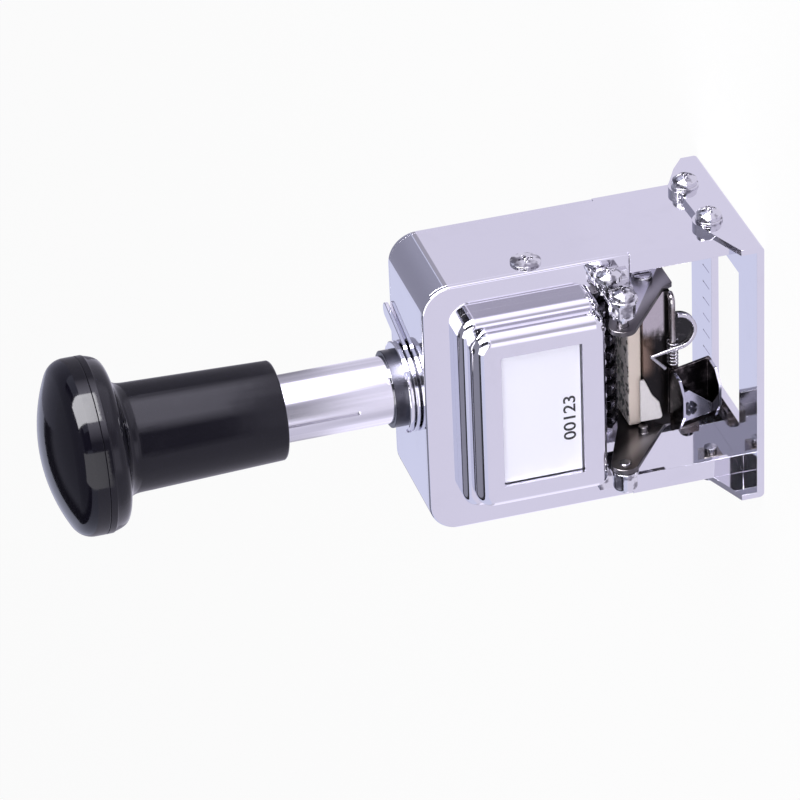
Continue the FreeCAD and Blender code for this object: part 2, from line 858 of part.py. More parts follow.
def knob_grip():
    neck = Vec(grip_neck_radius, 0, grip_neck_height)
    seam = Vec(knob_radius, 0, knob_seam)
    rim_points = [neck]
    for height_share, radius_share in zip(rim_height_shares, rim_radius_shares):
        rim_points.append(Vec(knob_radius * radius_share, 0,
                              grip_neck_height + (knob_seam - grip_neck_height) * height_share))
    rim_points.append(seam)
    flare = Part.BSplineCurve()
    flare.interpolate(Points=rim_points, InitialTangent=Vec(grip_edge_round / 2, 0, grip_neck_radius),
                      FinalTangent=Vec(0, 0, grip_neck_radius))
    low = Vec(grip_bottom_radius, 0, knob_bottom)
    profile = [
        Part.makeLine(Vec(0, 0, knob_bottom), low),
        Part.makeLine(low, neck),
        flare.toShape(),
        Part.makeLine(seam, Vec(0, 0, knob_seam)),
        Part.makeLine(Vec(0, 0, knob_seam), Vec(0, 0, knob_bottom)),
    ]
    grip = revolved(profile)
    rim = edges_at(grip, lambda p: p.z < knob_bottom + gap)
    rim = [edge for edge in rim if edge.Curve.TypeId == "Part::GeomCircle"]
    grip = grip.makeFillet(grip_edge_round, rim)
    cuts = [
        rod_z(tube_radius, knob_bottom - overrun, tube_top),
        rod_z(skirt_bore, knob_bottom - overrun, knob_bottom + skirt_bore_depth),
        rod_z(bolt_radius, tube_top - overrun, web_top + overrun),
        rod_z(cap_well_radius, web_top, knob_seam + overrun),
    ]
    return grip.cut(cuts)


def knob_cap():
    """A straight band under a dome of two tangent arcs, with a spigot below."""
    base = knob_seam + cap_band
    rise = knob_top - base
    reach = knob_radius - cap_shoulder
    crown_radius = (rise ** 2 + reach ** 2 - cap_shoulder ** 2) / (2 * (rise - cap_shoulder))
    lean = math.atan2(crown_radius - rise, reach)

    def on_shoulder(angle):
        return Vec(reach + cap_shoulder * math.cos(angle), 0, base + cap_shoulder * math.sin(angle))

    middle = (lean + math.pi / 2) / 2
    dome = Vec(crown_radius * math.cos(middle), 0, knob_top - crown_radius * (1 - math.sin(middle)))
    crown = Vec(0, 0, knob_top)
    foot = Vec(0, 0, knob_seam - cap_spigot)
    profile = [
        Part.makeLine(Vec(knob_radius, 0, knob_seam), on_shoulder(0)),
        Part.Arc(on_shoulder(0), on_shoulder(lean / 2), on_shoulder(lean)).toShape(),
        Part.Arc(on_shoulder(lean), dome, crown).toShape(),
        Part.makeLine(crown, foot),
        Part.makeLine(foot, Vec(cap_well_radius, 0, foot.z)),
        Part.makeLine(Vec(cap_well_radius, 0, foot.z), Vec(cap_well_radius, 0, knob_seam)),
        Part.makeLine(Vec(cap_well_radius, 0, knob_seam), Vec(knob_radius, 0, knob_seam)),
    ]
    return revolved(profile)


def knob_bolt():
    shank = rod_z(bolt_radius, plug_bottom + overrun, web_top)
    head = hexagon(2 * bolt_head_radius * 0.9, web_top, web_top + bolt_head_height)
    return fused([shank, head])


def return_spring():
    length = plug_bottom - spring_bottom - spring_wire
    spring = coil_spring(spring_radius, spring_wire, spring_turns, length / spring_turns, "return spring")
    spring.translate(Vec(0, 0, spring_bottom + spring_wire / 2))
    return spring


def cheek_plate():
    eye = rod_x(cheek_eye, cheek_half_gap, cheek_outside, 0, axle_height)
    outline = [
        (-cheek_half_depth, yoke_top),
        (-cheek_half_depth, yoke_bottom - yoke_sheet),
        (-cheek_eye, axle_height),
        (cheek_eye, axle_height),
        (cheek_half_depth, yoke_bottom - yoke_sheet),
        (cheek_half_depth, yoke_top),
    ]
    return fused([plate_yz(outline, cheek_half_gap, cheek_outside), eye])


def carriage_yoke():
    """The yoke plate with its cheeks and the collar that holds the tube."""
    top = block(-cheek_outside, cheek_outside, -cheek_half_depth, cheek_half_depth, yoke_bottom, yoke_top)
    collar = rod_z(carriage_collar_radius, yoke_top, yoke_top + carriage_collar_height)
    collar = collar.cut(rod_z(tube_radius, yoke_top, cross_pin_height))
    yoke = fused([top, collar] + both_sides(cheek_plate()))
    return yoke.cut(rod_x(axle_radius, -half_width, half_width, 0, axle_height))


def wheel_axle():
    return rod_x(axle_radius, -axle_end, axle_end, 0, axle_height)


def axle_clips():
    clips = []
    for side in (1, -1):
        x0, x1 = sorted((side * clip_inside, side * (clip_inside + clip_sheet)))
        ring = rod_x(clip_radius, x0, x1, 0, axle_height)
        ring = ring.cut(rod_x(axle_radius, x0 - overrun, x1 + overrun, 0, axle_height))
        mouth = block(x0 - overrun, x1 + overrun, -clip_slot / 2, clip_slot / 2,
                      axle_height - clip_radius - overrun, axle_height)
        clips.append(ring.cut(mouth))
    return clips


def polar(x, radius, degrees):
    """A point round the axle; 0 degrees is up and 90 degrees is to the front."""
    angle = math.radians(degrees)
    return Vec(x, -radius * math.sin(angle), axle_height + radius * math.cos(angle))


def wheel_middle(index):
    return (index - (wheel_count - 1) / 2) * wheel_pitch


def number_wheel(index):
    """A wheel of ten type blocks with a ratchet beside them."""
    width = type_length + ratchet_length
    left = wheel_middle(index) - width / 2
    step = 360 / digits
    face_angle = math.degrees(math.atan(type_half_width / type_radius))
    root_angle = math.degrees(math.asin(type_half_width / type_core_radius))
    corner = math.hypot(type_radius, type_half_width)
    rim = []
    teeth = []
    for digit in range(digits):
        at = 180 + digit * step
        rim.append(polar(left, type_core_radius, at - root_angle))
        rim.append(polar(left, corner, at - face_angle))
        rim.append(polar(left, corner, at + face_angle))
        rim.append(polar(left, type_core_radius, at + root_angle))
        teeth.append(polar(left + type_length, ratchet_radius, at))
        teeth.append(polar(left + type_length, ratchet_core_radius, at + step / 6))
    body = closed_face(rim).extrude(Vec(type_length, 0, 0))
    ratchet = closed_face(teeth).extrude(Vec(ratchet_length, 0, 0))
    wheel = fused([body, ratchet])
    return wheel.cut(rod_x(axle_radius + running_fit, -half_width, half_width, 0, axle_height))


def arc_band(inner, outer, start, end, x0, x1):
    """A curved sheet round the axle between two angles."""
    middle = (start + end) / 2
    edges = [
        Part.Arc(polar(x0, inner, start), polar(x0, inner, middle), polar(x0, inner, end)).toShape(),
        Part.makeLine(polar(x0, inner, end), polar(x0, outer, end)),
        Part.Arc(polar(x0, outer, end), polar(x0, outer, middle), polar(x0, outer, start)).toShape(),
        Part.makeLine(polar(x0, outer, start), polar(x0, inner, start)),
    ]
    return Part.Face(Part.Wire(edges)).extrude(Vec(x1 - x0, 0, 0))


def detent_comb():
    inner = math.hypot(type_radius, type_half_width) + finger_play
    outer = inner + finger_sheet
    half = cheek_half_gap - finger_sheet
    pieces = [arc_band(inner, outer, 0, finger_root_angle, -half, half)]
    for index in range(wheel_count):
        x0 = wheel_middle(index) - finger_width / 2
        pieces.append(arc_band(inner, outer, finger_root_angle - 1, finger_end_angle, x0, x0 + finger_width))
        low = polar(x0, inner, finger_end_angle)
        high = polar(x0, outer, finger_end_angle)
        out = Vec(0, -finger_hook, -finger_hook / 3)
        hook = closed_face([low, high, high + out, low + out]).extrude(Vec(finger_width, 0, 0))
        pieces.append(hook)
    comb = fused(pieces)
    return comb.cut(block(-half_width, half_width, -cheek_half_depth, half_depth, yoke_bottom, frame_height))


def pawl_rod_place():
    angle = math.radians(pawl_rest_angle)
    return pawl_rod_orbit * math.cos(angle), axle_height + pawl_rod_orbit * math.sin(angle)


def pawl_arm(side):
    y, z = pawl_rod_place()
    x = side * pawl_arm_inside
    eye = rod_x(pawl_eye, *sorted((x, side * pawl_arm_outside)), 0, axle_height)
    bar = strap(Vec(x, 0, axle_height), Vec(x, y, z), 2 * pawl_rod_radius,
                Vec(side * pawl_arm_sheet, 0, 0))
    arm = fused([eye, bar])
    arm = arm.cut(rod_x(axle_radius + running_fit, -half_width, half_width, 0, axle_height))
    return arm.cut(rod_x(pawl_rod_radius, -half_width, half_width, y, z))


def pawl_rod():
    y, z = pawl_rod_place()
    return rod_x(pawl_rod_radius, -pawl_arm_outside, pawl_arm_outside, y, z)


def pawls():
    """One finger for each wheel, reaching into the gap between two type rims."""
    y, z = pawl_rod_place()
    centre = pawl_rest_angle - 90
    fingers = []
    for index in range(wheel_count):
        x0 = wheel_middle(index) + (type_length + ratchet_length) / 2 - ratchet_length + gap
        finger = arc_band(ratchet_radius + gap, pawl_rod_orbit + 2 * pawl_rod_radius,
                          centre - pawl_half_angle, centre + pawl_half_angle, x0, x0 + pawl_sheet)
        fingers.append(finger.cut(rod_x(pawl_rod_radius, -half_width, half_width, y, z)))
    return fingers


# Ink arms and what they carry

def tangent_point(corner, turn):
    """Where the line from a corner of the arm touches its round eye, as (y, z)."""
    reach_y = corner[0] + pivot_front
    reach_z = corner[1] - pivot_height
    angle = math.atan2(reach_z, reach_y) + turn * math.acos(arm_eye_radius / math.hypot(reach_y, reach_z))
    return (-pivot_front + arm_eye_radius * math.cos(angle),
            pivot_height + arm_eye_radius * math.sin(angle))


def ink_arm(side):
    """A side plate that widens from its eye to the tray, with a stop pin on its inner face."""
    corners = [(-pivot_front + arm_length * y_share, pivot_height - arm_drop * z_share)
               for y_share, z_share in arm_outline_shares]
    outline = [tangent_point(corners[0], 1)] + corners + [tangent_point(corners[-1], -1)]
    plate = plate_yz(outline, arm_half_gap, arm_outside)
    bends = [edge for edge in plate.Edges
             if edge.Length < arm_sheet + gap and edge.CenterOfMass.y > -pivot_front + 2 * arm_eye_radius]
    plate = plate.makeFillet(arm_corner, bends)
    eye = rod_x(arm_eye_radius, arm_half_gap, arm_outside, -pivot_front, pivot_height)
    pin = rod_x(arm_pin_radius, arm_half_gap - arm_pin_length, arm_outside, -arm_pin_front, arm_pin_height)
    arm = fused([plate, eye, pin])
    arm = arm.cut(rod_x(pivot_pin_radius + running_fit, 0, half_width, -pivot_front, pivot_height))
    for front, height in stud_places():
        arm = arm.cut(rod_x(screw_radius / 2, 0, half_width, -front, height))
    return arm if side > 0 else mirrored_x(arm)


def stud_places():
    return ((stud_front, stud_height), (-rear_stud_rear, rear_stud_height))


def arm_studs():
    """Slotted studs that hold the tray between the arms."""
    studs = []
    for side in (1, -1):
        for front, height in stud_places():
            shank = rod_z(screw_radius / 2, arm_half_gap - tray_sheet, arm_outside)
            head = rod_z(stud_head_radius, arm_outside, arm_outside + stud_head_height)
            rims = [edge for edge in head.Edges if edge.Curve.TypeId == "Part::GeomCircle"
                    and edge.CenterOfMass.z > arm_outside + stud_head_height / 2]
            head = head.makeFillet(stud_head_height / 3, rims)
            stud = fused([shank, head])
            top = arm_outside + stud_head_height
            stud = stud.cut(block(-stud_head_radius, stud_head_radius, -slot_width / 2, slot_width / 2,
                                  top - stud_head_height / 2, top + overrun))
            studs.append(turned_to_x(stud, side, 0, -front, height))
    return studs


def ink_tray():
    """A steel tray: floor, front skirt with a folded edge and two side walls between the arms."""
    floor_bottom = pad_bottom - tray_sheet
    floor = block(-arm_half_gap, arm_half_gap, -skirt_front, pad_rear + tray_sheet, floor_bottom, pad_bottom)
    back = block(-arm_half_gap, arm_half_gap, pad_rear, pad_rear + tray_sheet,
                 floor_bottom, pad_bottom + tray_sheet)
    skirt = block(-arm_half_gap, arm_half_gap, -skirt_front, -pad_front, skirt_bottom, pad_bottom)
    fold = block(-arm_half_gap, arm_half_gap, -skirt_front, -pad_front + skirt_fold,
                 skirt_bottom, skirt_bottom + tray_sheet)
    wall = plate_yz([(-pad_front - tray_sheet / 2, skirt_bottom), (-pad_front - tray_sheet / 2, pad_bottom),
                     (pad_rear, pad_bottom), (pad_rear, floor_bottom),
                     (tray_heel, skirt_bottom + tray_heel), (0, skirt_bottom)],
                    arm_half_gap - tray_sheet, arm_half_gap)
    tray = fused([floor, back, skirt, fold] + both_sides(wall))
    for front, height in stud_places():
        for side in (1, -1):
            x0, x1 = sorted((side * (arm_half_gap - tray_sheet), side * half_width))
            tray = tray.cut(rod_x(screw_radius / 2, x0, x1, -front, height))
    return tray


def ink_pad():
    pad = block(-pad_half_length, pad_half_length, -pad_front, pad_rear, pad_bottom, pad_top)
    return pad.makeFillet(pad_round, edges_at(pad, lambda p: p.z > pad_top - gap / 2))


def pad_tab():
    """A white fin on the skirt, for pulling the pad out."""
    back = -skirt_front
    fin = plate_xz([(fin_left, pad_bottom + holder_lip), (fin_right, pad_bottom + holder_lip),
                    (fin_right, pad_bottom),
                    (fin_right - fin_drop, pad_bottom - fin_drop * 0.42),
                    (fin_left + fin_drop, pad_bottom - fin_drop * 0.8),
                    (fin_left, pad_bottom - fin_drop)], back - fin_sheet, back)
    low = [edge for edge in fin.Edges if edge.Length < fin_sheet + running_fit
           and edge.CenterOfMass.z < pad_bottom - fin_drop * 0.7]
    return fin.makeFillet(fin_round, low)


def spring_rod():
    """The rod that the latch turns on, bent back to the skirt at both ends."""
    left = spring_rod_left + spring_rod_radius
    right = arm_half_gap - spring_rod_radius
    middle = rod_bend * (1 - math.sqrt(0.5))

    def at(x, in_front):
        return Vec(x, -skirt_front - in_front, spring_rod_height)

    left_bend = Part.Arc(at(left, 0), at(left + middle, rod_bend - middle), at(left + rod_bend, rod_bend))
    straight = Part.makeLine(at(left + rod_bend, rod_bend), at(right - rod_bend, rod_bend))
    right_bend = Part.Arc(at(right - rod_bend, rod_bend), at(right - middle, rod_bend - middle),
                          at(right, 0))
    path = Part.Wire([left_bend.toShape(), straight, right_bend.toShape()])
    profile = Part.Wire([Part.makeCircle(spring_rod_radius, at(left, 0), Y_AXIS)])
    return swept(path, profile)


def small_coil():
    coil = coil_spring(coil_radius, coil_wire, coil_turns, coil_pitch, "small coil")
    return turned_to_x(coil, 1, coil_left, -rod_front, spring_rod_height)


def wire_clip():
    """A bent wire: two legs from a pointed bow, lying on the front of the coil."""
    y = -rod_front - coil_radius - coil_wire / 2 - clip_wire - running_fit
    bow = Vec(clip_bow_x, y, clip_bow_height)
    ends = (Vec(clip_upper_x, y, clip_upper_height), Vec(clip_lower_x, y, clip_lower_height))
    pieces = [Part.makeSphere(clip_wire, bow)]
    for end in ends:
        line = end - bow
        pieces.append(Part.makeCylinder(clip_wire, line.Length, bow, line))
        pieces.append(Part.makeSphere(clip_wire, end))
    return fused(pieces)


def finger_tongue():
    """A half-round tongue with a raised rim, under the skirt."""
    centre = skirt_bottom - tongue_neck
    low = centre - tongue_radius
    front = -skirt_front
    left = tongue_centre - tongue_radius
    right = tongue_centre + tongue_radius
    disc = rod_y(tongue_radius, front, -pad_front, tongue_centre, centre)
    ring = rod_y(tongue_radius, front - tongue_rim, front, tongue_centre, centre)
    ring = ring.cut(rod_y(tongue_radius - tray_sheet, front - overrun, front, tongue_centre, centre))
    half = fused([disc, ring]).common(block(left, right, front - overrun, 0, low, centre))
    neck = block(left, right, front, -pad_front, centre, skirt_bottom)
    return fused([half, neck])


def yoke_x(share):
    return yoke_left + (yoke_right - yoke_left) * share


def yoke_ear():
    """The outline of one ear, bowed to the front, at Z = 0."""
    back = -yoke_web_front
    outline = [Vec(yoke_left, back + yoke_plate, 0), Vec(yoke_left, back, 0)]
    for x_share, reach_share in ear_outline_shares:
        outline.append(Vec(yoke_x(x_share), back - ear_reach * reach_share, 0))
    outline += [Vec(yoke_right, back, 0), Vec(yoke_right, back + yoke_plate, 0)]
    return closed_face(outline).extrude(Vec(0, 0, yoke_plate))


def release_yoke():
    """Latch on the rod: web, two ears and a bridge between them, leaning forward."""
    back = -yoke_web_front
    flank = back - ear_reach * gusset_reach_share
    pieces = [block(yoke_left, yoke_right, back, back + yoke_plate, yoke_lower, yoke_upper)]
    for z in (yoke_upper - yoke_plate, yoke_lower):
        ear = yoke_ear()
        ear.translate(Vec(0, 0, z))
        pieces.append(ear)
    top = yoke_upper - yoke_plate
    drop = yoke_height - 2 * yoke_plate
    pieces.append(plate_xz([(yoke_x(x_share), top - drop * z_share)
                            for x_share, z_share in gusset_outline_shares], flank, flank + yoke_plate))
    yoke = fused(pieces)
    lean_about(yoke)
    knuckle = rod_x(knuckle_radius, knuckle_left, yoke_right, -rod_front, spring_rod_height)
    yoke = fused([yoke, knuckle])
    return yoke.cut(rod_x(spring_rod_radius + running_fit, -half_width, half_width,
                          -rod_front, spring_rod_height))


def lean_about(shape):
    shape.rotate(Vec(0, -yoke_web_front, (yoke_upper + yoke_lower) / 2), X_AXIS, yoke_lean_angle)


def yoke_screw():
    """The screw in the yoke's front gusset."""
    front = -yoke_web_front - ear_reach * gusset_reach_share
    screw = pan_screw(yoke_screw_radius, yoke_screw_height, screw_radius / 2, overrun)
    screw = screw.cut(rod_z(2 * yoke_screw_radius, -2 * overrun, 0))
    screw.rotate(ORIGIN, X_AXIS, 90)
    screw.translate(Vec(yoke_x(yoke_screw_share), front,
                        (yoke_upper + yoke_lower) / 2 + yoke_screw_radius))
    lean_about(screw)
    return screw


# Lock lever and repeat selector

def lock_lever():
    top = lever_bottom + lever_sheet
    ring = rod_z(collar_radius, lever_bottom, top)
    arm = strap(Vec(lever_root_x, 0, lever_bottom), Vec(lever_tip_x, lever_tip_y, lever_bottom),
                lever_half_width, Vec(0, 0, lever_sheet))
    lever = fused([ring, arm])
    return lever.cut(rod_z(bush_radius + running_fit, lever_bottom - overrun, top + overrun))


def selector_back():
    return half_depth + rear_emboss_depth


def selector_lever():
    y0 = selector_back() + gap
    arm = strap(Vec(0, y0, selector_height), Vec(0, y0, selector_height + selector_arm),
                selector_half_width, Vec(0, selector_sheet, 0))
    boss = rod_y(2 * selector_pin_radius, y0, y0 + selector_sheet, 0, selector_height)
    lever = fused([arm, boss])
    return lever.cut(rod_y(selector_pin_radius + running_fit, 0, pivot_reach, 0, selector_height))


def selector_button():
    y0 = selector_back() + gap + selector_sheet
    button = rod_y(selector_knob_radius, y0, pivot_reach, 0, selector_height + selector_arm)
    rims = [edge for edge in button.Edges if edge.Curve.TypeId == "Part::GeomCircle"
            and edge.CenterOfMass.y > (y0 + pivot_reach) / 2]
    return button.makeFillet(selector_knob_radius / 4, rims)


def selector_screw():
    inner = selector_back() - cover_sheet - selector_cam_height
    y0 = selector_back() + 2 * gap + selector_sheet
    pin = rod_y(selector_pin_radius, inner, y0, 0, selector_height)
    head = rod_y(selector_head_radius, y0, y0 + selector_head_height, 0, selector_height)
    screw = fused([pin, head])
    slot = block(-selector_head_radius, selector_head_radius, y0 + selector_head_height / 2,
                 y0 + selector_head_height + overrun, selector_height - slot_width / 2,
                 selector_height + slot_width / 2)
    return screw.cut(slot)


def selector_nut():
    y1 = selector_back() - cover_sheet
    nut = rod_y(selector_cam_radius, y1 - selector_cam_height, y1, 0, selector_height)
    return nut.cut(rod_y(selector_pin_radius, 0, pivot_reach, 0, selector_height))


os.makedirs("parts", exist_ok=True)

export("frame_shell", frame_shell())
export("base_plate", base_plate())
export("base_screws", base_screws())
export("base_washers", base_washers())
export("base_nuts", base_nuts())
export("front_cover", front_cover())
export("rear_cover", rear_cover())
export("number_card", number_card())
export("card_holder", card_holder())
export("side_screws", side_screws())
export("pin_brackets", [pin_bracket(1), pin_bracket(-1)])
export("cross_pin", cross_pin())
export("spring_seat", spring_seat())
export("plunger_bush", plunger_bush())
export("collar_nut", collar_nut())
export("right_pivot_bracket", right_pivot_bracket())
export("left_pivot_bracket", left_pivot_bracket())
export("spring_post", spring_post())
export("right_pivot_stud", right_pivot_stud())
export("right_pivot_screw", right_pivot_screw())
export("left_pivot_screw", left_pivot_screw())
export("selector_screw", selector_screw())
export("selector_nut", selector_nut())

export("plunger_tube", plunger_tube())
export("tube_plug", tube_plug())
export("knob_grip", knob_grip())
export("knob_cap", knob_cap())
export("knob_bolt", knob_bolt())
export("return_spring", return_spring())
export("carriage_yoke", carriage_yoke())
export("wheel_axle", wheel_axle())
export("axle_clips", axle_clips())
export("detent_comb", detent_comb())
for wheel_index in range(wheel_count):
    export("number_wheel_" + str(wheel_index + 1), number_wheel(wheel_index))

export("pawl_arms", [pawl_arm(1), pawl_arm(-1)])
export("pawl_rod", pawl_rod())
export("pawls", pawls())

export("right_ink_arm", ink_arm(1))
export("left_ink_arm", ink_arm(-1))
export("arm_studs", arm_studs())
export("ink_tray", ink_tray())
export("ink_pad", ink_pad())
export("pad_tab", pad_tab())
export("spring_rod", spring_rod())
export("small_coil", small_coil())
export("wire_clip", wire_clip())
export("finger_tongue", finger_tongue())
export("release_yoke", release_yoke())
export("yoke_screw", yoke_screw())

export("lock_lever", lock_lever())
export("selector_lever", selector_lever())
export("selector_button", selector_button())
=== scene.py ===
"""Looks of the hand numbering machine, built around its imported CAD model."""
import json
import math

import bmesh
import bpy
from bpy.props import FloatProperty, FloatVectorProperty, IntProperty, PointerProperty, StringProperty
from mathutils import Euler, Matrix, Vector


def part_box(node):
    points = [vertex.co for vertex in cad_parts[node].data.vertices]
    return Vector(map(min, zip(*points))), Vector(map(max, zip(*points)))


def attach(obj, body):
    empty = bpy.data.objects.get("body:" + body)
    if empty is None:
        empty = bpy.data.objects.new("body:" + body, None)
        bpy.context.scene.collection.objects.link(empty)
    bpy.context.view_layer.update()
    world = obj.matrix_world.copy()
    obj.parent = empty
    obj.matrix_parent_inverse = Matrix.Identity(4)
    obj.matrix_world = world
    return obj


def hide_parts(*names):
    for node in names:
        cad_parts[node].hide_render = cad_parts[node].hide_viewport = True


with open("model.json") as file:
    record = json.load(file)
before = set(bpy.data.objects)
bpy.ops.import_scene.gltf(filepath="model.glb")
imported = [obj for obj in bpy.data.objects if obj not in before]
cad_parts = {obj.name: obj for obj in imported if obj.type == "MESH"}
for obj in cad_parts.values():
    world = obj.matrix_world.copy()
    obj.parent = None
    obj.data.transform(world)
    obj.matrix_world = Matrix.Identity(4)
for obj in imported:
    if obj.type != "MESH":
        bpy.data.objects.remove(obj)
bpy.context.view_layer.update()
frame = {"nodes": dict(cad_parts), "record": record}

bl_info = {
    "name": "Numbering Machine",
    "version": (1, 0, 0),
    "blender": (4, 5, 0),
    "location": "View3D > Sidebar > Numbering",
    "description": "Dresses the CAD model of a hand numbering machine in chrome, nickel, plastic and felt",
    "category": "Object",
}

BODY_OF = {node: body for body, nodes in frame["record"]["behaviour"]["bodies"].items() for node in nodes}
SLOT_OF = {part["node"]: part["material_slot"] for part in frame["record"]["subparts"]}
WHEELS = 8
FIGURES = 10
FIGURE_STEP = 360 / FIGURES

# Printed figures: the thickness of the ink and how much the strokes swell over the plain font
THIN = 0.00004
FONT_SWELL = 0.012
CARD_FIGURE_PITCH = 0.79
CARD_PRINT_X = -0.0026
CARD_PRINT_Z = 0.04595

# Roundings of the pieces' edges in metres, and the angle in degrees above which an edge stays crisp
EDGE_WHEEL = 0.00006
EDGE_THIN = 0.00008
EDGE_SCREW = 0.0001
EDGE_NUT = 0.00012
EDGE_STRIP = 0.00015
EDGE_SOFT = 0.0002
EDGE_MOULDED = 0.00025
EDGE_STEPS = 2
CRISP_ANGLE = 34

# The type wheels: how far out the flats and the figures lie, and where the figures stand in the wheel's width
FLAT_RADIUS = 0.0090
TYPE_RADIUS = 0.0093
TYPE_HEIGHT = 0.0046
TYPE_SINK = 1.3
TYPE_PLACE = 0.34

# The felt pad: its soft edge, the unevenness of its long sides and the cuts across its faces
PAD_EDGE = 0.0005
PAD_RIPPLE = 0.00006
PAD_CUTS = 27

# The selector's scale: radius of its figures from the pivot, their height and the sweep in degrees
MARK_RADIUS = 0.0185
MARK_HEIGHT = 0.0026
MARK_WIDTH = 0.0017
MARK_WIDTH_ONE = 0.0008
MARK_SWEEP = 70
MARKS = 4

# Where a finish or a painted reflection changes on a piece, in the machine's own coordinates
STRAP_POINT = (-0.0153, 0.0268)
STRAP_ACROSS = (0.53, 0.85)
STRAP_FACE_X = 0.0180
STRAP_TOP_Z = 0.0290
LATCH_POINT = (-0.0114, 0.01355)
LATCH_LEAN = (0.9613, 0.2756)
TONGUE_FACE_Y = -0.00915

# How bright the floor is for polished metal: stops of a bearing from the front in degrees and a level
FLOOR_EVEN = 0.82
FLOOR_NEAR = ((-180, 0.90), (-82, 1.20), (-60, 0.82), (-20, 0.82), (-6, 1.40), (16, 1.40), (26, 0.55),
              (42, 0.55), (62, 1.30), (112, 1.50), (126, 0.80), (160, 0.80), (180, 0.90))
FLOOR_MIDDLE = ((-180, 0.90), (-82, 1.20), (-60, 0.80), (-14, 0.82), (4, 1.00), (60, 1.02), (76, 1.60),
                (112, 1.60), (126, 0.80), (160, 0.80), (180, 0.90))
FLOOR_FAR = ((-180, 0.30), (-60, 0.82), (-18, 0.82), (-4, 0.25), (34, 0.25), (58, 3.40), (104, 3.40),
             (126, 0.50), (180, 0.30))
FLOOR_ZONES = ((0.15, FLOOR_NEAR), (0.32, FLOOR_MIDDLE), (0.47, FLOOR_FAR))
FLOOR_BLEND = 0.02
FLOOR_TOP = 3.6
FLOOR_TINT = (0.956, 0.924, 1.107)
FLOOR_CAMERA_SHARE = 0.94

# The curved screens: their rows and columns of faces, and the height of their centre
SCREEN_ROWS = 12
SCREEN_COLUMNS = 32
SCREEN_CENTRE = 0.08


# ---------------------------------------------------------------- node trees

class Wire:
    """One output socket, which sums and products can be written with."""

    def __init__(self, tree, socket):
        self.tree = tree
        self.socket = socket

    def out(self, name):
        return Wire(self.tree, self.socket.node.outputs[name])

    def __add__(self, other):
        return self.tree.math("ADD", self, other)

    def __sub__(self, other):
        return self.tree.math("SUBTRACT", self, other)

    def __rsub__(self, other):
        return self.tree.math("SUBTRACT", other, self)

    def __mul__(self, other):
        return self.tree.math("MULTIPLY", self, other)

    def __truediv__(self, other):
        return self.tree.math("DIVIDE", self, other)

    def __pow__(self, other):
        return self.tree.math("POWER", self, other)

    __radd__ = __add__
    __rmul__ = __mul__


class Tree:
    """A shader or geometry node tree that is filled by calls."""

    def __init__(self, nodes):
        self.nodes = nodes.nodes
        self.links = nodes.links

    def node(self, kind, settings=None, inputs=None, out=0):
        """Add any node: its settings first, then its sockets' values or links."""
        made = self.nodes.new(kind)
        for key, value in (settings or {}).items():
            if key == "stops":
                self.fill_ramp(made.color_ramp, value)
            else:
                setattr(made, key, value)
        for key, value in (inputs or {}).items():
            if isinstance(value, Wire):
                self.links.new(value.socket, made.inputs[key])
            elif value is not None:
                made.inputs[key].default_value = value
        return Wire(self, made.outputs[out]) if made.outputs else made

    def fill_ramp(self, ramp, stops):
        while len(ramp.elements) > len(stops):
            ramp.elements.remove(ramp.elements[-1])
        while len(ramp.elements) < len(stops):
            ramp.elements.new(1.0)
        for element, (place, colour) in zip(ramp.elements, stops):
            element.position = place
            element.color = colour if len(colour) == 4 else (*colour, 1.0)

    def math(self, operation, first, second):
        return self.node("ShaderNodeMath", {"operation": operation}, {0: first, 1: second})

    def between(self, share, low, high):
        """A number that runs from low to high as the share runs from 0 to 1."""
        return share * (high - low) + low

    def mix(self, share, first, second):
        """A colour between two colours."""
        settings = {"data_type": "RGBA", "clamp_factor": True}
        return self.node("ShaderNodeMix", settings, {0: share, 6: rgba(first), 7: rgba(second)}, out=2)


def rgba(colour):
    """The colour with its alpha, or the wire as it is."""
    return colour if isinstance(colour, Wire) or len(colour) == 4 else (*colour, 1.0)


class Finish(Tree):
    """A material, with its texture space and its shader."""

    def __init__(self, name):
        self.material = bpy.data.materials.new(name)
        self.material.use_nodes = True
        self.material.node_tree.nodes.clear()
        super().__init__(self.material.node_tree)
        self.place = self.node("ShaderNodeTexCoord", out=3)

    def stretched(self, scale):
        """The piece's own coordinates in metres, scaled along each axis."""
        return self.node("ShaderNodeMapping", None, {"Vector": self.place, "Scale": scale})

    def noise(self, scale, detail=2.0, rough=0.5, stretch=None):
        at = self.stretched(stretch) if stretch else self.place
        inputs = {"Vector": at, "Scale": scale, "Detail": detail, "Roughness": rough}
        return self.node("ShaderNodeTexNoise", None, inputs)

    def ramp(self, share, *stops):
        return self.node("ShaderNodeValToRGB", {"stops": stops}, {0: share})

    def axes(self):
        """The piece's X, Y and Z as three numbers in metres."""
        apart = self.node("ShaderNodeSeparateXYZ", None, {0: self.place})
        return apart, apart.out("Y"), apart.out("Z")

    def size_of(self, number):
        """The number without its sign."""
        return self.math("ABSOLUTE", number, 0.0)

    def step(self, share, low, high):
        """0 below low, 1 above high, and a smooth run between them."""
        settings = {"interpolation_type": "SMOOTHSTEP"}
        return self.node("ShaderNodeMapRange", settings, {0: share, 1: low, 2: high})

    def bump(self, height, depth, strength=1.0):
        inputs = {"Height": height, "Distance": depth, "Strength": strength}
        return self.node("ShaderNodeBump", None, inputs)

    def shade(self, **inputs):
        """The Principled shader and the output; underscores in names stand for spaces."""
        named = {key.replace("_", " "): value for key, value in inputs.items()}
        for key in ("Base Color", "Emission Color"):
            if key in named:
                named[key] = rgba(named[key])
        shader = self.node("ShaderNodeBsdfPrincipled", None, named)
        self.node("ShaderNodeOutputMaterial", None, {"Surface": shader})
        return self.material


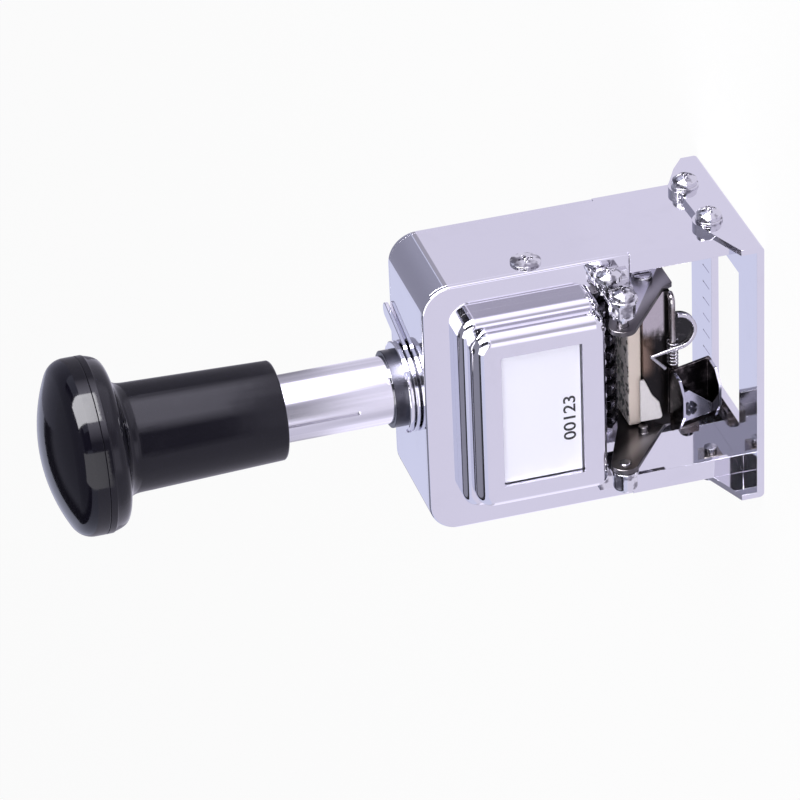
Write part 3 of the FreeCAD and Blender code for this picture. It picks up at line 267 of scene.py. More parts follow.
class Recipe(Tree):
    """A Geometry Nodes tree with named inputs."""

    def __init__(self, name, **sockets):
        self.group = bpy.data.node_groups.new(name, "GeometryNodeTree")
        super().__init__(self.group)
        self.group.interface.new_socket("Geometry", in_out="OUTPUT", socket_type="NodeSocketGeometry")
        self.identifiers = {}
        for key, kind in sockets.items():
            made = self.group.interface.new_socket(key, in_out="INPUT", socket_type="NodeSocket" + kind)
            self.identifiers[key] = made.identifier
        self.given = self.nodes.new("NodeGroupInput")

    def value(self, name):
        return Wire(self, self.given.outputs[name])

    def xyz(self, x, y, z):
        return self.node("ShaderNodeCombineXYZ", None, {0: x, 1: y, 2: z})

    def finish(self, geometry, finish):
        """End the tree with real geometry that has its material."""
        real = self.node("GeometryNodeRealizeInstances", None, {0: geometry})
        shaded = self.node("GeometryNodeSetMaterial", None, {"Geometry": real, "Material": finish})
        self.node("NodeGroupOutput", None, {0: shaded})

    def make(self, name, **values):
        """A plain mesh from the tree with these input values."""
        holder = new_object(name, bpy.data.meshes.new(name + "_start"))
        modifier = holder.modifiers.new("recipe", "NODES")
        modifier.node_group = self.group
        for key, value in values.items():
            modifier[self.identifiers[key]] = value
        made = plain_mesh(holder, name)
        holder.modifiers.clear()
        holder.data = made
        return holder


# ---------------------------------------------------------------- meshes

def new_object(name, data):
    made = bpy.data.objects.new(name, data)
    bpy.context.scene.collection.objects.link(made)
    return made


def plain_mesh(holder, name):
    """The object's mesh with its modifiers worked in."""
    bpy.context.view_layer.update()
    graph = bpy.context.evaluated_depsgraph_get()
    mesh = bpy.data.meshes.new_from_object(holder.evaluated_get(graph))
    mesh.name = name + "_mesh"
    return mesh


def node_mesh(node):
    """A merged copy of a CAD node's triangles, its flat faces each made one."""
    shell = bmesh.new()
    shell.from_mesh(frame["nodes"][node].data)
    for layer in list(shell.loops.layers.float_vector.values()):
        shell.loops.layers.float_vector.remove(layer)
    bmesh.ops.remove_doubles(shell, verts=shell.verts, dist=0.000001)
    bmesh.ops.dissolve_limit(shell, angle_limit=math.radians(0.4), verts=shell.verts, edges=shell.edges)
    return shell


def mesh_of(shell, name, sharp=CRISP_ANGLE):
    """Turn a bmesh into a smooth-shaded mesh with crisp edges above an angle."""
    for edge in shell.edges:
        edge.smooth = len(edge.link_faces) == 2 and edge.calc_face_angle(0) < math.radians(sharp)
    for face in shell.faces:
        face.smooth = True
    mesh = bpy.data.meshes.new(name)
    shell.to_mesh(mesh)
    shell.free()
    for layer in [layer for layer in mesh.attributes if layer.name == "custom_normal"]:
        mesh.attributes.remove(layer)
    return mesh


def rounded(holder, width):
    """Round the piece's edges a little and even out its shading."""
    if width:
        bevel = holder.modifiers.new("edges", "BEVEL")
        bevel.width = width
        bevel.segments = EDGE_STEPS
        bevel.limit_method = "ANGLE"
        bevel.angle_limit = math.radians(CRISP_ANGLE)
        bevel.use_clamp_overlap = True
    even = holder.modifiers.new("even", "WEIGHTED_NORMAL")
    even.keep_sharp = True
    even.weight = 80
    mesh = plain_mesh(holder, holder.name)
    holder.modifiers.clear()
    holder.data = mesh


def dress(node, finish, edge=0.0, change=None):
    """Stand a finished copy in a CAD node's place."""
    shell = node_mesh(node)
    if change:
        change(shell)
    piece = new_object(node + "_shown", mesh_of(shell, node + "_shown"))
    rounded(piece, edge)
    return settle(piece, finish, BODY_OF[node], SLOT_OF[node], node)


def settle(piece, finish, body, slot, *nodes):
    """Give a piece its finish, its body and the nodes that it stands for."""
    if finish:
        piece.data.materials.clear()
        piece.data.materials.append(finish)
    if nodes:
        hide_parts(*nodes)
    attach(piece, body)
    return piece


def figures_mesh(name, words, height, width, depth):
    """Flat figures of a given height and width in the XY plane, closed and thin."""
    curve = bpy.data.curves.new(name, "FONT")
    curve.body = words
    curve.size = 1.0
    curve.extrude = 0.5
    curve.offset = FONT_SWELL
    holder = new_object(name, curve)
    mesh = plain_mesh(holder, name)
    bpy.data.objects.remove(holder)
    low = Vector([min(v.co[i] for v in mesh.vertices) for i in range(3)])
    high = Vector([max(v.co[i] for v in mesh.vertices) for i in range(3)])
    middle = (low + high) / 2
    size = high - low
    mesh.transform(Matrix.Translation(-middle))
    mesh.transform(Matrix.Diagonal((width / size.x, height / size.y, depth / size.z, 1)))
    shell = bmesh.new()
    shell.from_mesh(mesh)
    bmesh.ops.remove_doubles(shell, verts=shell.verts, dist=0.0000005)
    bmesh.ops.recalc_face_normals(shell, faces=shell.faces)
    shell.to_mesh(mesh)
    shell.free()
    return mesh


# ---------------------------------------------------------------- values a user would change

class MachineSizes(bpy.types.PropertyGroup):
    edge_round: FloatProperty(name="Edge round", description="Rounding of the sheet metal's edges",
                              default=0.00018, min=0, unit="LENGTH")
    card_number: StringProperty(name="Card number", description="Sample number printed on the card",
                                default="00123")
    figure_height: FloatProperty(name="Printed figure height", description="Height of the card's figures",
                                 default=0.0029, unit="LENGTH")
    figure_relief: FloatProperty(name="Type relief", description="Height of the type above its block",
                                 default=0.00035, unit="LENGTH")
    wheel_reading: StringProperty(name="Wheel reading", description="Figures that face the paper",
                                  default="00000123")
    coil_turns: IntProperty(name="Coil turns", description="Turns of the small spring", default=7)
    coil_wire: FloatProperty(name="Coil wire", description="Thickness of the small spring's wire",
                             default=0.0004, unit="LENGTH")
    pad_crown: FloatProperty(name="Pad crown", description="Rise of the felt's faces between its edges",
                             default=0.0002, unit="LENGTH")


class MachineColours(bpy.types.PropertyGroup):
    chrome: FloatVectorProperty(name="Chrome", description="Bright plating of the frame and covers",
                                subtype="COLOR", default=(0.80, 0.79, 0.84))
    nickel: FloatVectorProperty(name="Nickel", description="Duller plating of the mechanism",
                                subtype="COLOR", default=(0.56, 0.53, 0.52))
    steel: FloatVectorProperty(name="Steel", description="Plain steel of pins and inner parts",
                               subtype="COLOR", default=(0.50, 0.50, 0.52))
    type_metal: FloatVectorProperty(name="Type metal", description="Dark metal of the wheels",
                                    subtype="COLOR", default=(0.085, 0.078, 0.10))
    plastic: FloatVectorProperty(name="Plastic", description="Gloss black of the knob",
                                 subtype="COLOR", default=(0.0045, 0.004, 0.008))
    card: FloatVectorProperty(name="Card", description="Bluish white of the card",
                              subtype="COLOR", default=(0.84, 0.83, 0.95))
    felt: FloatVectorProperty(name="Felt", description="Cream of the ink pad",
                              subtype="COLOR", default=(0.86, 0.74, 0.69))
    ink: FloatVectorProperty(name="Ink", description="Black of the printed figures",
                             subtype="COLOR", default=(0.012, 0.011, 0.014))


class StudioSettings(bpy.types.PropertyGroup):
    lens: FloatProperty(name="Lens", description="Focal length of the camera in millimetres", default=220.8)
    camera_place: FloatVectorProperty(name="Camera", description="Where the camera stands",
                                      subtype="TRANSLATION", default=(0.58312, -0.91057, 0.32356))
    camera_turn: FloatVectorProperty(name="Camera turn", description="The camera's rotation",
                                     subtype="EULER", default=[math.radians(d) for d in
                                                               (-39.478, 73.437, -97.883)])
    floor_size: FloatProperty(name="Floor", description="Side of the floor", default=12.0, unit="LENGTH")
    box_distance: FloatProperty(name="Soft box distance", description="From the machine to the soft boxes",
                                default=0.95, unit="LENGTH")


def sizes():
    return bpy.context.scene.machine_sizes


def colours():
    return bpy.context.scene.machine_colours


def studio():
    return bpy.context.scene.machine_studio


# ---------------------------------------------------------------- finishes

FINISHES = {}


def finish(name):
    """The material of that name, made when it is first asked for."""
    if name not in FINISHES:
        FINISHES[name] = FINISH_MAKERS[name]()
    return FINISHES[name]


def chrome_plate():
    """Bright plating with slight waves from the polish and faint dull spots."""
    metal = Finish("chrome_plate")
    waves = metal.noise(60, 2)
    smudge = metal.step(metal.noise(150, 4, 0.6), 0.50, 0.78)
    tone = metal.mix(smudge * 0.25, colours().chrome, [c * 0.93 for c in colours().chrome])
    rough = metal.between(smudge, 0.055, 0.14)
    return metal.shade(Base_Color=tone, Metallic=1.0, Roughness=rough, Normal=metal.bump(waves, 0.00002))


def drawn_chrome():
    """The plunger tube: bright, with fine streaks along its length."""
    metal = Finish("drawn_chrome")
    streaks = metal.noise(1, 4, 0.6, (900, 900, 14))
    bands = metal.noise(1, 2, 0.5, (300, 300, 3))
    tone = metal.mix(metal.step(bands, 0.35, 0.7), [c * 0.86 for c in colours().chrome],
                     [min(1.0, c * 1.22) for c in colours().chrome])
    rough = metal.between(streaks, 0.04, 0.20)
    return metal.shade(Base_Color=tone, Metallic=1.0, Roughness=rough, Normal=metal.bump(streaks, 0.000012))


def clouded(metal, pale, dark, rough=(0.10, 0.30)):
    """A plated look: a tone that clouds from pale to dark, with fine scratches."""
    cloud = metal.noise(130, 3, 0.6)
    fine = metal.noise(1500, 2)
    tone = metal.mix(metal.step(cloud, 0.38, 0.66), pale, dark)
    return metal.shade(Base_Color=tone, Metallic=1.0, Roughness=metal.between(cloud, *rough),
                       Normal=metal.bump(fine, 0.000008))


def screw_plate():
    """Screws and brackets: bright plating broken by small dull, dark patches laid at random by noise."""
    metal = Finish("screw_plate")
    # Small dull, dark patches laid at random by noise
    dark_patches = metal.noise(420, 2, 0.5)
    tone = metal.mix(metal.step(dark_patches, 0.46, 0.62), (0.78, 0.77, 0.80), (0.26, 0.25, 0.28))
    return metal.shade(Base_Color=tone, Metallic=1.0, Roughness=metal.between(dark_patches, 0.06, 0.18),
                       Normal=metal.bump(metal.noise(150, 2), 0.00002))


def nickel_plate():
    """Duller plating of the mechanism, brownish where handled and oiled."""
    return clouded(Finish("nickel_plate"), colours().nickel,
                   [c * s for c, s in zip(colours().nickel, (0.50, 0.44, 0.42))])


def gun_metal():
    """The dark grey of the guide bush and the latch's screw."""
    return clouded(Finish("gun_metal"), (0.10, 0.10, 0.12), (0.04, 0.04, 0.05), (0.22, 0.36))


def arm_plate():
    """The ink arms: dulled and inky, with a painted pale reflection on the outside near the pivots and a
    painted highlight band across their middle.
    """
    metal = Finish("arm_plate")
    x, y, z = metal.axes()
    # A painted pale reflection on the outer face, behind the strap and below its top
    start = STRAP_POINT[0] * STRAP_ACROSS[0] + STRAP_POINT[1] * STRAP_ACROSS[1]
    behind = y * STRAP_ACROSS[0] + z * STRAP_ACROSS[1] - start
    wear_and_painted_reflection = metal.step(x, STRAP_FACE_X, STRAP_FACE_X + 0.0006) * metal.step(behind, 0.0001, 0.0004)
    wear_and_painted_reflection = wear_and_painted_reflection * (1 - metal.step(z, STRAP_TOP_Z, STRAP_TOP_Z + 0.0010))
    # A painted highlight band across the arm's middle
    middle = 1 - metal.step(metal.size_of(y + z * 0.9 + -0.010), 0.0, 0.0045)
    tone = metal.mix(metal.noise(160, 3, 0.6), (0.07, 0.062, 0.067), (0.15, 0.14, 0.145))
    tone = metal.mix(middle * 0.7, tone, (0.50, 0.48, 0.49))
    tone = metal.mix(wear_and_painted_reflection, tone, (0.80, 0.77, 0.90))
    return metal.shade(Base_Color=tone, Metallic=metal.between(wear_and_painted_reflection, 1.0, 0.5), Roughness=0.30,
                       Normal=metal.bump(metal.noise(1300, 2), 0.000008))


def inked_tray():
    """The pad's tray: clean at its right end under a painted bright reflection, and black everywhere else
    from ink stain and a painted dark reflection, with a painted shadow along its fold and a painted brown
    cast beside the pad.
    """
    metal = Finish("inked_tray")
    x, _, z = metal.axes()
    patch = metal.noise(260, 4, 0.65, (1, 1, 2.2))
    # Clean metal at the right end, brightened as a painted reflection
    clean_and_painted_bright = metal.step(x + patch * 0.006, 0.0085, 0.0125)
    streak = metal.step(metal.noise(1, 3, 0.6, (160, 160, 900)), 0.55, 0.80)
    # The black elsewhere is ink stain, deepened as a painted dark reflection
    inked = metal.mix(streak * 0.7, (0.012, 0.010, 0.011), (0.10, 0.075, 0.070))
    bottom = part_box("ink_tray")[0].z
    # A painted shadow along the fold at the bottom of the skirt
    painted_fold_shadow = 1 - metal.step(z, bottom + 0.0012, bottom + 0.0018)
    clean_and_painted_bright = clean_and_painted_bright * (1 - painted_fold_shadow)
    # A painted brown cast on the skirt beside the pad
    painted_brown_cast = metal.step(x, -0.005, -0.001) * (1 - metal.step(x, 0.004, 0.008))
    painted_brown_cast = painted_brown_cast * metal.step(z, bottom + 0.0034, bottom + 0.0064)
    tone = metal.mix(clean_and_painted_bright, inked, (0.52, 0.47, 0.50))
    tone = metal.mix(painted_brown_cast * 0.7, tone, (0.34, 0.23, 0.18))
    return metal.shade(Base_Color=tone, Metallic=metal.between(clean_and_painted_bright, 0.75, 1.0),
                       Roughness=metal.between(patch, 0.14, 0.34),
                       Normal=metal.bump(patch, 0.00002))


def latch_plate():
    """The latch: bright on its ears and bridge, with a mottled painted dark reflection on its web."""
    metal = Finish("latch_plate")
    _, y, z = metal.axes()
    forward = y - LATCH_POINT[0]
    upward = z - LATCH_POINT[1]
    depth = forward * LATCH_LEAN[0] + upward * LATCH_LEAN[1]
    rise = upward * LATCH_LEAN[0] - forward * LATCH_LEAN[1]
    upper = metal.step(rise, 0.00522, 0.00530)
    lower = 1 - metal.step(metal.size_of(rise + 0.00455), 0.00005, 0.00012)
    web = metal.math("MAXIMUM", metal.step(depth, -0.0009, -0.0004), metal.math("MAXIMUM", upper, lower))
    patch = metal.noise(420, 4, 0.65)
    # Painted dark reflection on the web, mottled by the noise
    painted_dark_web = metal.mix(metal.step(patch, 0.45, 0.72), (0.020, 0.017, 0.018), (0.15, 0.13, 0.13))
    tone = metal.mix(web, metal.mix(patch * 0.4, (0.62, 0.62, 0.72), (0.40, 0.38, 0.44)), painted_dark_web)
    return metal.shade(Base_Color=tone, Metallic=1.0, Roughness=metal.between(patch, 0.08, 0.26),
                       Normal=metal.bump(patch, 0.000015))


def tongue_plate():
    """The finger tongue: a painted black face, standing in for a dark reflection, inside a bright rim."""
    metal = Finish("tongue_plate")
    _, y, _ = metal.axes()
    face = metal.step(y, TONGUE_FACE_Y, TONGUE_FACE_Y + 0.0002)
    worn = metal.noise(500, 3, 0.6)
    # Painted dark reflection on the face, mottled by the noise
    black = metal.mix(metal.step(worn, 0.5, 0.75), (0.010, 0.009, 0.011), (0.05, 0.045, 0.05))
    tone = metal.mix(face, (0.66, 0.64, 0.68), black)
    return metal.shade(Base_Color=tone, Metallic=metal.between(face, 1.0, 0.4),
                       Roughness=metal.between(worn, 0.10, 0.26), Normal=metal.bump(worn, 0.00001))


def plain_steel():
    """Unplated steel with a ground grain."""
    metal = Finish("plain_steel")
    grain = metal.noise(1, 3, 0.6, (300, 2600, 2600))
    tone = metal.mix(grain, [c * 0.72 for c in colours().steel], colours().steel)
    return metal.shade(Base_Color=tone, Metallic=1.0, Roughness=metal.between(grain, 0.22, 0.42),
                       Normal=metal.bump(grain, 0.00001))


def spring_steel():
    """Bright drawn wire and strip."""
    metal = Finish("spring_steel")
    grain = metal.noise(900, 3, 0.6)
    tone = metal.mix(grain, (0.34, 0.33, 0.35), (0.56, 0.55, 0.58))
    return metal.shade(Base_Color=tone, Metallic=1.0, Roughness=metal.between(grain, 0.14, 0.30),
                       Normal=metal.bump(grain, 0.000006))


def type_metal():
    """Dark machined wheels with turning marks and a trace of ink."""
    metal = Finish("type_metal")
    marks = metal.noise(1, 2, 0.5, (7000, 500, 500))
    inked = metal.step(metal.noise(420, 3, 0.6), 0.46, 0.62)
    tone = metal.mix(inked, colours().type_metal, [c * 0.35 for c in colours().type_metal])
    rough = metal.between(inked, 0.20, 0.40)
    return metal.shade(Base_Color=tone, Metallic=metal.between(inked, 1.0, 0.6), Roughness=rough,
                       Normal=metal.bump(marks, 0.00001))


def figure_faces():
    """The figures themselves, worn bright by printing."""
    metal = Finish("figure_faces")
    worn = metal.noise(900, 3, 0.6)
    tone = metal.mix(metal.step(worn, 0.4, 0.7), (0.62, 0.60, 0.66), (0.16, 0.15, 0.18))
    return metal.shade(Base_Color=tone, Metallic=1.0, Roughness=metal.between(worn, 0.12, 0.34),
                       Normal=metal.bump(worn, 0.00002))


def gloss_black():
    """Moulded black plastic with a slight ripple, fine wear and dust."""
    plastic = Finish("gloss_black")
    ripple = plastic.noise(90, 2)
    dust = plastic.step(plastic.noise(2600, 2, 0.7), 0.70, 0.80)
    wear_and_painted_reflection = plastic.step(plastic.noise(70, 4, 0.65), 0.45, 0.75)
    tone = plastic.mix(dust * 0.3, colours().plastic, (0.03, 0.03, 0.04))
    rough = plastic.between(wear_and_painted_reflection, 0.08, 0.17) + dust * 0.15
    return plastic.shade(Base_Color=tone, Roughness=rough, Specular_IOR_Level=0.32,
                         Normal=plastic.bump(ripple, 0.00003))


def card_paper():
    """Smooth card with a faint fibre grain."""
    paper = Finish("card_paper")
    fibres = paper.noise(1, 4, 0.7, (1800, 1800, 5200))
    tone = paper.mix(fibres * 0.5, colours().card, [c * 0.93 for c in colours().card])
    return paper.shade(Base_Color=tone, Roughness=paper.between(fibres, 0.55, 0.75),
                       Normal=paper.bump(fibres, 0.00001))


def printed_ink():
    """Thin black print, uneven where the card shows through."""
    ink = Finish("printed_ink")
    patch = ink.step(ink.noise(3000, 3, 0.6), 0.56, 0.74)
    tone = ink.mix(patch * 0.35, colours().ink, colours().card)
    return ink.shade(Base_Color=tone, Roughness=ink.between(patch, 0.4, 0.65))


def pad_felt():
    """Pressed wool felt: an unstained cream side, and a top netted with ink that creeps down its edge."""
    felt = Finish("pad_felt")
    _, _, z = felt.axes()
    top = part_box("ink_pad")[1].z
    fibres = felt.noise(1, 4, 0.7, (2400, 3600, 3600))
    creep = felt.noise(420, 4, 0.7)
    inked = felt.step(z + creep * 0.0006, top - 0.00015, top + 0.00005)
    net = felt.noise(1, 2, 0.7, (430, 480, 520))
    knots = felt.step(net, 0.42, 0.52)
    inky = felt.mix(knots, (0.030, 0.025, 0.030), (0.74, 0.67, 0.69))
    cream = felt.mix(fibres * 0.5, colours().felt, [c * 0.84 for c in colours().felt])
    tone = felt.mix(inked, cream, inky)
    height = knots * inked * 0.8 + fibres * 0.2
    return felt.shade(Base_Color=tone, Roughness=felt.between(inked, 0.92, 0.55), Sheen_Weight=0.2,
                      Sheen_Roughness=0.5, Normal=felt.bump(height, 0.00016, 0.9))


def tab_board():
    """Pale pressed board of the pad's tab, with a soft grain."""
    board = Finish("tab_board")
    grain = board.noise(1, 3, 0.6, (700, 2400, 2400))
    tone = board.mix(grain, (0.70, 0.66, 0.70), (0.84, 0.80, 0.84))
    return board.shade(Base_Color=tone, Roughness=board.between(grain, 0.35, 0.55),
                       Normal=board.bump(grain, 0.00002))


def white_floor():
    """A floor that the camera sees white with a soft shadow, and polished metal sees in light and dark."""
    ground = Finish("white_floor")
    path = ground.node("ShaderNodeLightPath")
    mirrored = ground.math("MAXIMUM", path.out("Is Glossy Ray"), path.out("Is Transmission Ray"))
    seen = ground.math("MAXIMUM", path.out("Is Camera Ray") * FLOOR_CAMERA_SHARE, mirrored)
    matt = ground.node("ShaderNodeBsdfDiffuse", None, {"Color": (0.90, 0.90, 0.91, 1)})
    x, y, _ = ground.axes()
    bearing = ground.math("ARCTAN2", x, y * -1) / math.radians(360) + 0.5
    away = (x * x + y * y) ** 0.5
    around = [level * FLOOR_EVEN / FLOOR_TOP for level in FLOOR_TINT]
    for start, zone in FLOOR_ZONES:
        stops = [(place / 360 + 0.5, [level * tint / FLOOR_TOP for tint in FLOOR_TINT])
                 for place, level in zone]
        beyond = ground.step(away, start - FLOOR_BLEND, start + FLOOR_BLEND)
        around = ground.mix(beyond, around, ground.ramp(bearing, *stops))
    around = ground.mix(path.out("Is Camera Ray"), around, (1 / FLOOR_TOP,) * 3)
    white = ground.node("ShaderNodeEmission", None, {"Color": around, "Strength": FLOOR_TOP})
    both = ground.node("ShaderNodeMixShader", None, {0: seen, 1: matt, 2: white})
    ground.node("ShaderNodeOutputMaterial", None, {"Surface": both})
    return ground.material


def dark_cloth():
    """The screens round the set: black low down and grey overhead."""
    cloth = Finish("dark_cloth")
    _, _, z = cloth.axes()
    glow = cloth.mix(cloth.step(z, 1.08, 1.30), (0, 0, 0), (0.24, 0.24, 0.30))
    return cloth.shade(Base_Color=(0.02, 0.02, 0.025), Roughness=0.9, Emission_Color=glow,
                       Emission_Strength=1.0)


def grey_cloth():
    """A dim screen that darkens upwards, for the soft dark bands in the chrome."""
    cloth = Finish("grey_cloth")
    _, _, z = cloth.axes()
    glow = cloth.mix(cloth.step(z, 0.2, 1.2), (0.33, 0.33, 0.43), (0.25, 0.25, 0.33))
    return cloth.shade(Base_Color=(0.02, 0.02, 0.02), Roughness=0.9, Emission_Color=glow,
                       Emission_Strength=1.0)


def bright_card():
    """The near card that makes the small bright windows in the gloss."""
    card = Finish("bright_card")
    return card.shade(Base_Color=(0, 0, 0), Emission_Color=(0.96, 0.95, 1.0), Emission_Strength=18.0)


def soft_card():
    """The dimmer card in front."""
    card = Finish("soft_card")
    return card.shade(Base_Color=(0, 0, 0), Emission_Color=(0.96, 0.95, 1.0), Emission_Strength=2.4)


FINISH_MAKERS = {
    "chrome": chrome_plate, "drawn": drawn_chrome, "nickel": nickel_plate, "steel": plain_steel,
    "spring": spring_steel, "type": type_metal, "black": gloss_black, "card": card_paper,
    "ink": printed_ink, "felt": pad_felt, "board": tab_board, "floor": white_floor,
    "flag": dark_cloth, "wall": grey_cloth, "gun": gun_metal, "arm": arm_plate, "tray": inked_tray,
    "latch": latch_plate, "tongue": tongue_plate, "bright": bright_card, "soft": soft_card,
    "face": figure_faces, "screw": screw_plate,
}


# ---------------------------------------------------------------- the pieces

class NUMBERING_OT_shell(bpy.types.Operator):
    """Dress the bent frame, the base plate and the two covers"""
    bl_idname = "numbering.shell"
    bl_label = "Frame and covers"

    def execute(self, context):
        edge = sizes().edge_round
        for node in ("frame_shell", "base_plate", "front_cover", "rear_cover"):
            dress(node, finish("chrome"), edge)
        for node in ("pin_brackets", "cross_pin", "spring_seat"):
            dress(node, finish("steel"))
        # The spring keeps its own mesh, because the plunger's joint shortens it
        for slot in frame["nodes"]["return_spring"].material_slots:
            slot.material = finish("spring")
        return {"FINISHED"}


class NUMBERING_OT_card(bpy.types.Operator):
    """Dress the number card and its holder, and print a sample number on it"""
    bl_idname = "numbering.card"
    bl_label = "Number card"

    def execute(self, context):
        dress("card_holder", finish("steel"), EDGE_SCREW)
        dress("number_card", finish("card"), EDGE_THIN)
        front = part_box("number_card")[0].y
        words = sizes().card_number
        width = sizes().figure_height * CARD_FIGURE_PITCH * len(words)
        mesh = figures_mesh("card_figures", words, sizes().figure_height, width, THIN)
        mesh.transform(Matrix.Rotation(math.radians(90), 4, "X"))
        mesh.transform(Matrix.Translation((CARD_PRINT_X, front - THIN / 4, CARD_PRINT_Z)))
        settle(new_object("card_figures", mesh), finish("ink"), "frame", "white_card")
        return {"FINISHED"}


class NUMBERING_OT_fasteners(bpy.types.Operator):
    """Dress the screws, washers, nuts and posts"""
    bl_idname = "numbering.fasteners"
    bl_label = "Screws and nuts"

    def execute(self, context):
        for node in ("base_screws", "base_washers", "side_screws", "spring_post", "right_pivot_screw",
                     "right_pivot_stud", "left_pivot_screw"):
            dress(node, finish("screw"), EDGE_SCREW)
        for node in ("right_pivot_bracket", "left_pivot_bracket", "arm_studs"):
            dress(node, finish("screw"), EDGE_NUT)
        dress("base_nuts", finish("nickel"), EDGE_NUT)
        dress("yoke_screw", finish("gun"), EDGE_NUT)
        return {"FINISHED"}


class NUMBERING_OT_plunger(bpy.types.Operator):
    """Dress the plunger tube, its guide bush, the collar nut and the lock lever"""
    bl_idname = "numbering.plunger"
    bl_label = "Plunger"

    def execute(self, context):
        dress("plunger_tube", finish("drawn"), EDGE_SCREW)
        dress("plunger_bush", finish("gun"), EDGE_NUT)
        dress("collar_nut", finish("chrome"), EDGE_SCREW)
        dress("lock_lever", finish("chrome"), EDGE_STRIP)
        dress("tube_plug", finish("steel"))
        return {"FINISHED"}


class NUMBERING_OT_knob(bpy.types.Operator):
    """Dress the knob's grip and cap"""
    bl_idname = "numbering.knob"
    bl_label = "Knob"

    def execute(self, context):
        dress("knob_grip", finish("black"), EDGE_MOULDED)
        dress("knob_cap", finish("black"), EDGE_MOULDED)
        dress("knob_bolt", finish("steel"))
        return {"FINISHED"}


class NUMBERING_OT_carriage(bpy.types.Operator):
    """Dress the carriage that holds the wheels, with its comb and pawls"""
    bl_idname = "numbering.carriage"
    bl_label = "Carriage"

    def execute(self, context):
        dress("carriage_yoke", finish("nickel"), EDGE_STRIP)
        dress("detent_comb", finish("spring"), EDGE_THIN)
        dress("axle_clips", finish("nickel"), EDGE_SCREW)
        dress("wheel_axle", finish("steel"), EDGE_SOFT)
        dress("pawl_arms", finish("nickel"), EDGE_SCREW)
        dress("pawl_rod", finish("steel"))
        dress("pawls", finish("steel"), EDGE_THIN)
        return {"FINISHED"}


class NUMBERING_OT_wheels(bpy.types.Operator):
    """Dress the number wheels and raise the mirrored figures on their type blocks"""
    bl_idname = "numbering.wheels"
    bl_label = "Number wheels"

    def execute(self, context):
        reading = sizes().wheel_reading.rjust(WHEELS, "0")
        recipe = self.figure_ring()
        for index in range(WHEELS):
            node = "number_wheel_%d" % (index + 1)
            dress(node, finish("type"), EDGE_WHEEL, change=self.lower_faces)
            low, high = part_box(node)
            middle = low.x + (high.x - low.x) * TYPE_PLACE
            ring = recipe.make("figures_%d" % (index + 1), Middle=middle, Reading=int(reading[index]))
            settle(ring, None, BODY_OF[node], "type_metal")
        return {"FINISHED"}

    def axle_height(self):
        return sum(corner.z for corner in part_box("wheel_axle")) / 2

    def lower_faces(self, shell):
        """Sink the ten flat faces by the type's relief."""
        relief = sizes().figure_relief
        axle_z = self.axle_height()
        for vert in shell.verts:
            out = Vector((0, vert.co.y, vert.co.z - axle_z))
            if out.length > FLAT_RADIUS:
                vert.co -= out.normalized() * relief

    def figure_ring(self):
        """A tree that sets ten figures round a wheel, the read one facing down."""
        raised = sizes().figure_relief * TYPE_SINK
        tree = Recipe("figure_ring", Middle="Float", Reading="Int")
        rings = []
        for figure in range(FIGURES):
            text = tree.node("GeometryNodeStringToCurves", {"align_x": "CENTER", "align_y": "MIDDLE"},
                             {"String": str(figure), "Size": TYPE_HEIGHT})
            flat = tree.node("GeometryNodeFillCurve", None,
                             {0: tree.node("GeometryNodeRealizeInstances", None, {0: text})})
            under = tree.node("GeometryNodeFlipFaces", None, {0: flat})
            block = tree.node("GeometryNodeExtrudeMesh", {"mode": "FACES"},
                              {"Mesh": under, "Offset Scale": raised})
            low = tree.node("GeometryNodeTransform", None,
                            {"Geometry": block, "Translation": (0, 0, -TYPE_RADIUS + raised)})
            turned = tree.node("GeometryNodeTransform", None,
                               {"Geometry": low, "Rotation": (math.radians(figure * FIGURE_STEP), 0, 0)})
            rings.append(turned)
        join = self.joined(tree, rings)
        turn = tree.xyz(tree.value("Reading") * math.radians(-FIGURE_STEP), 0.0, 0.0)
        read = tree.node("GeometryNodeTransform", None, {"Geometry": join, "Rotation": turn})
        place = tree.xyz(tree.value("Middle"), 0.0, self.axle_height())
        placed = tree.node("GeometryNodeTransform", None, {"Geometry": read, "Translation": place})
        tree.finish(placed, finish("face"))
        return tree

    def joined(self, tree, parts):
        join = tree.nodes.new("GeometryNodeJoinGeometry")
        for part in parts:
            tree.links.new(part.socket, join.inputs[0])
        return Wire(tree, join.outputs[0])


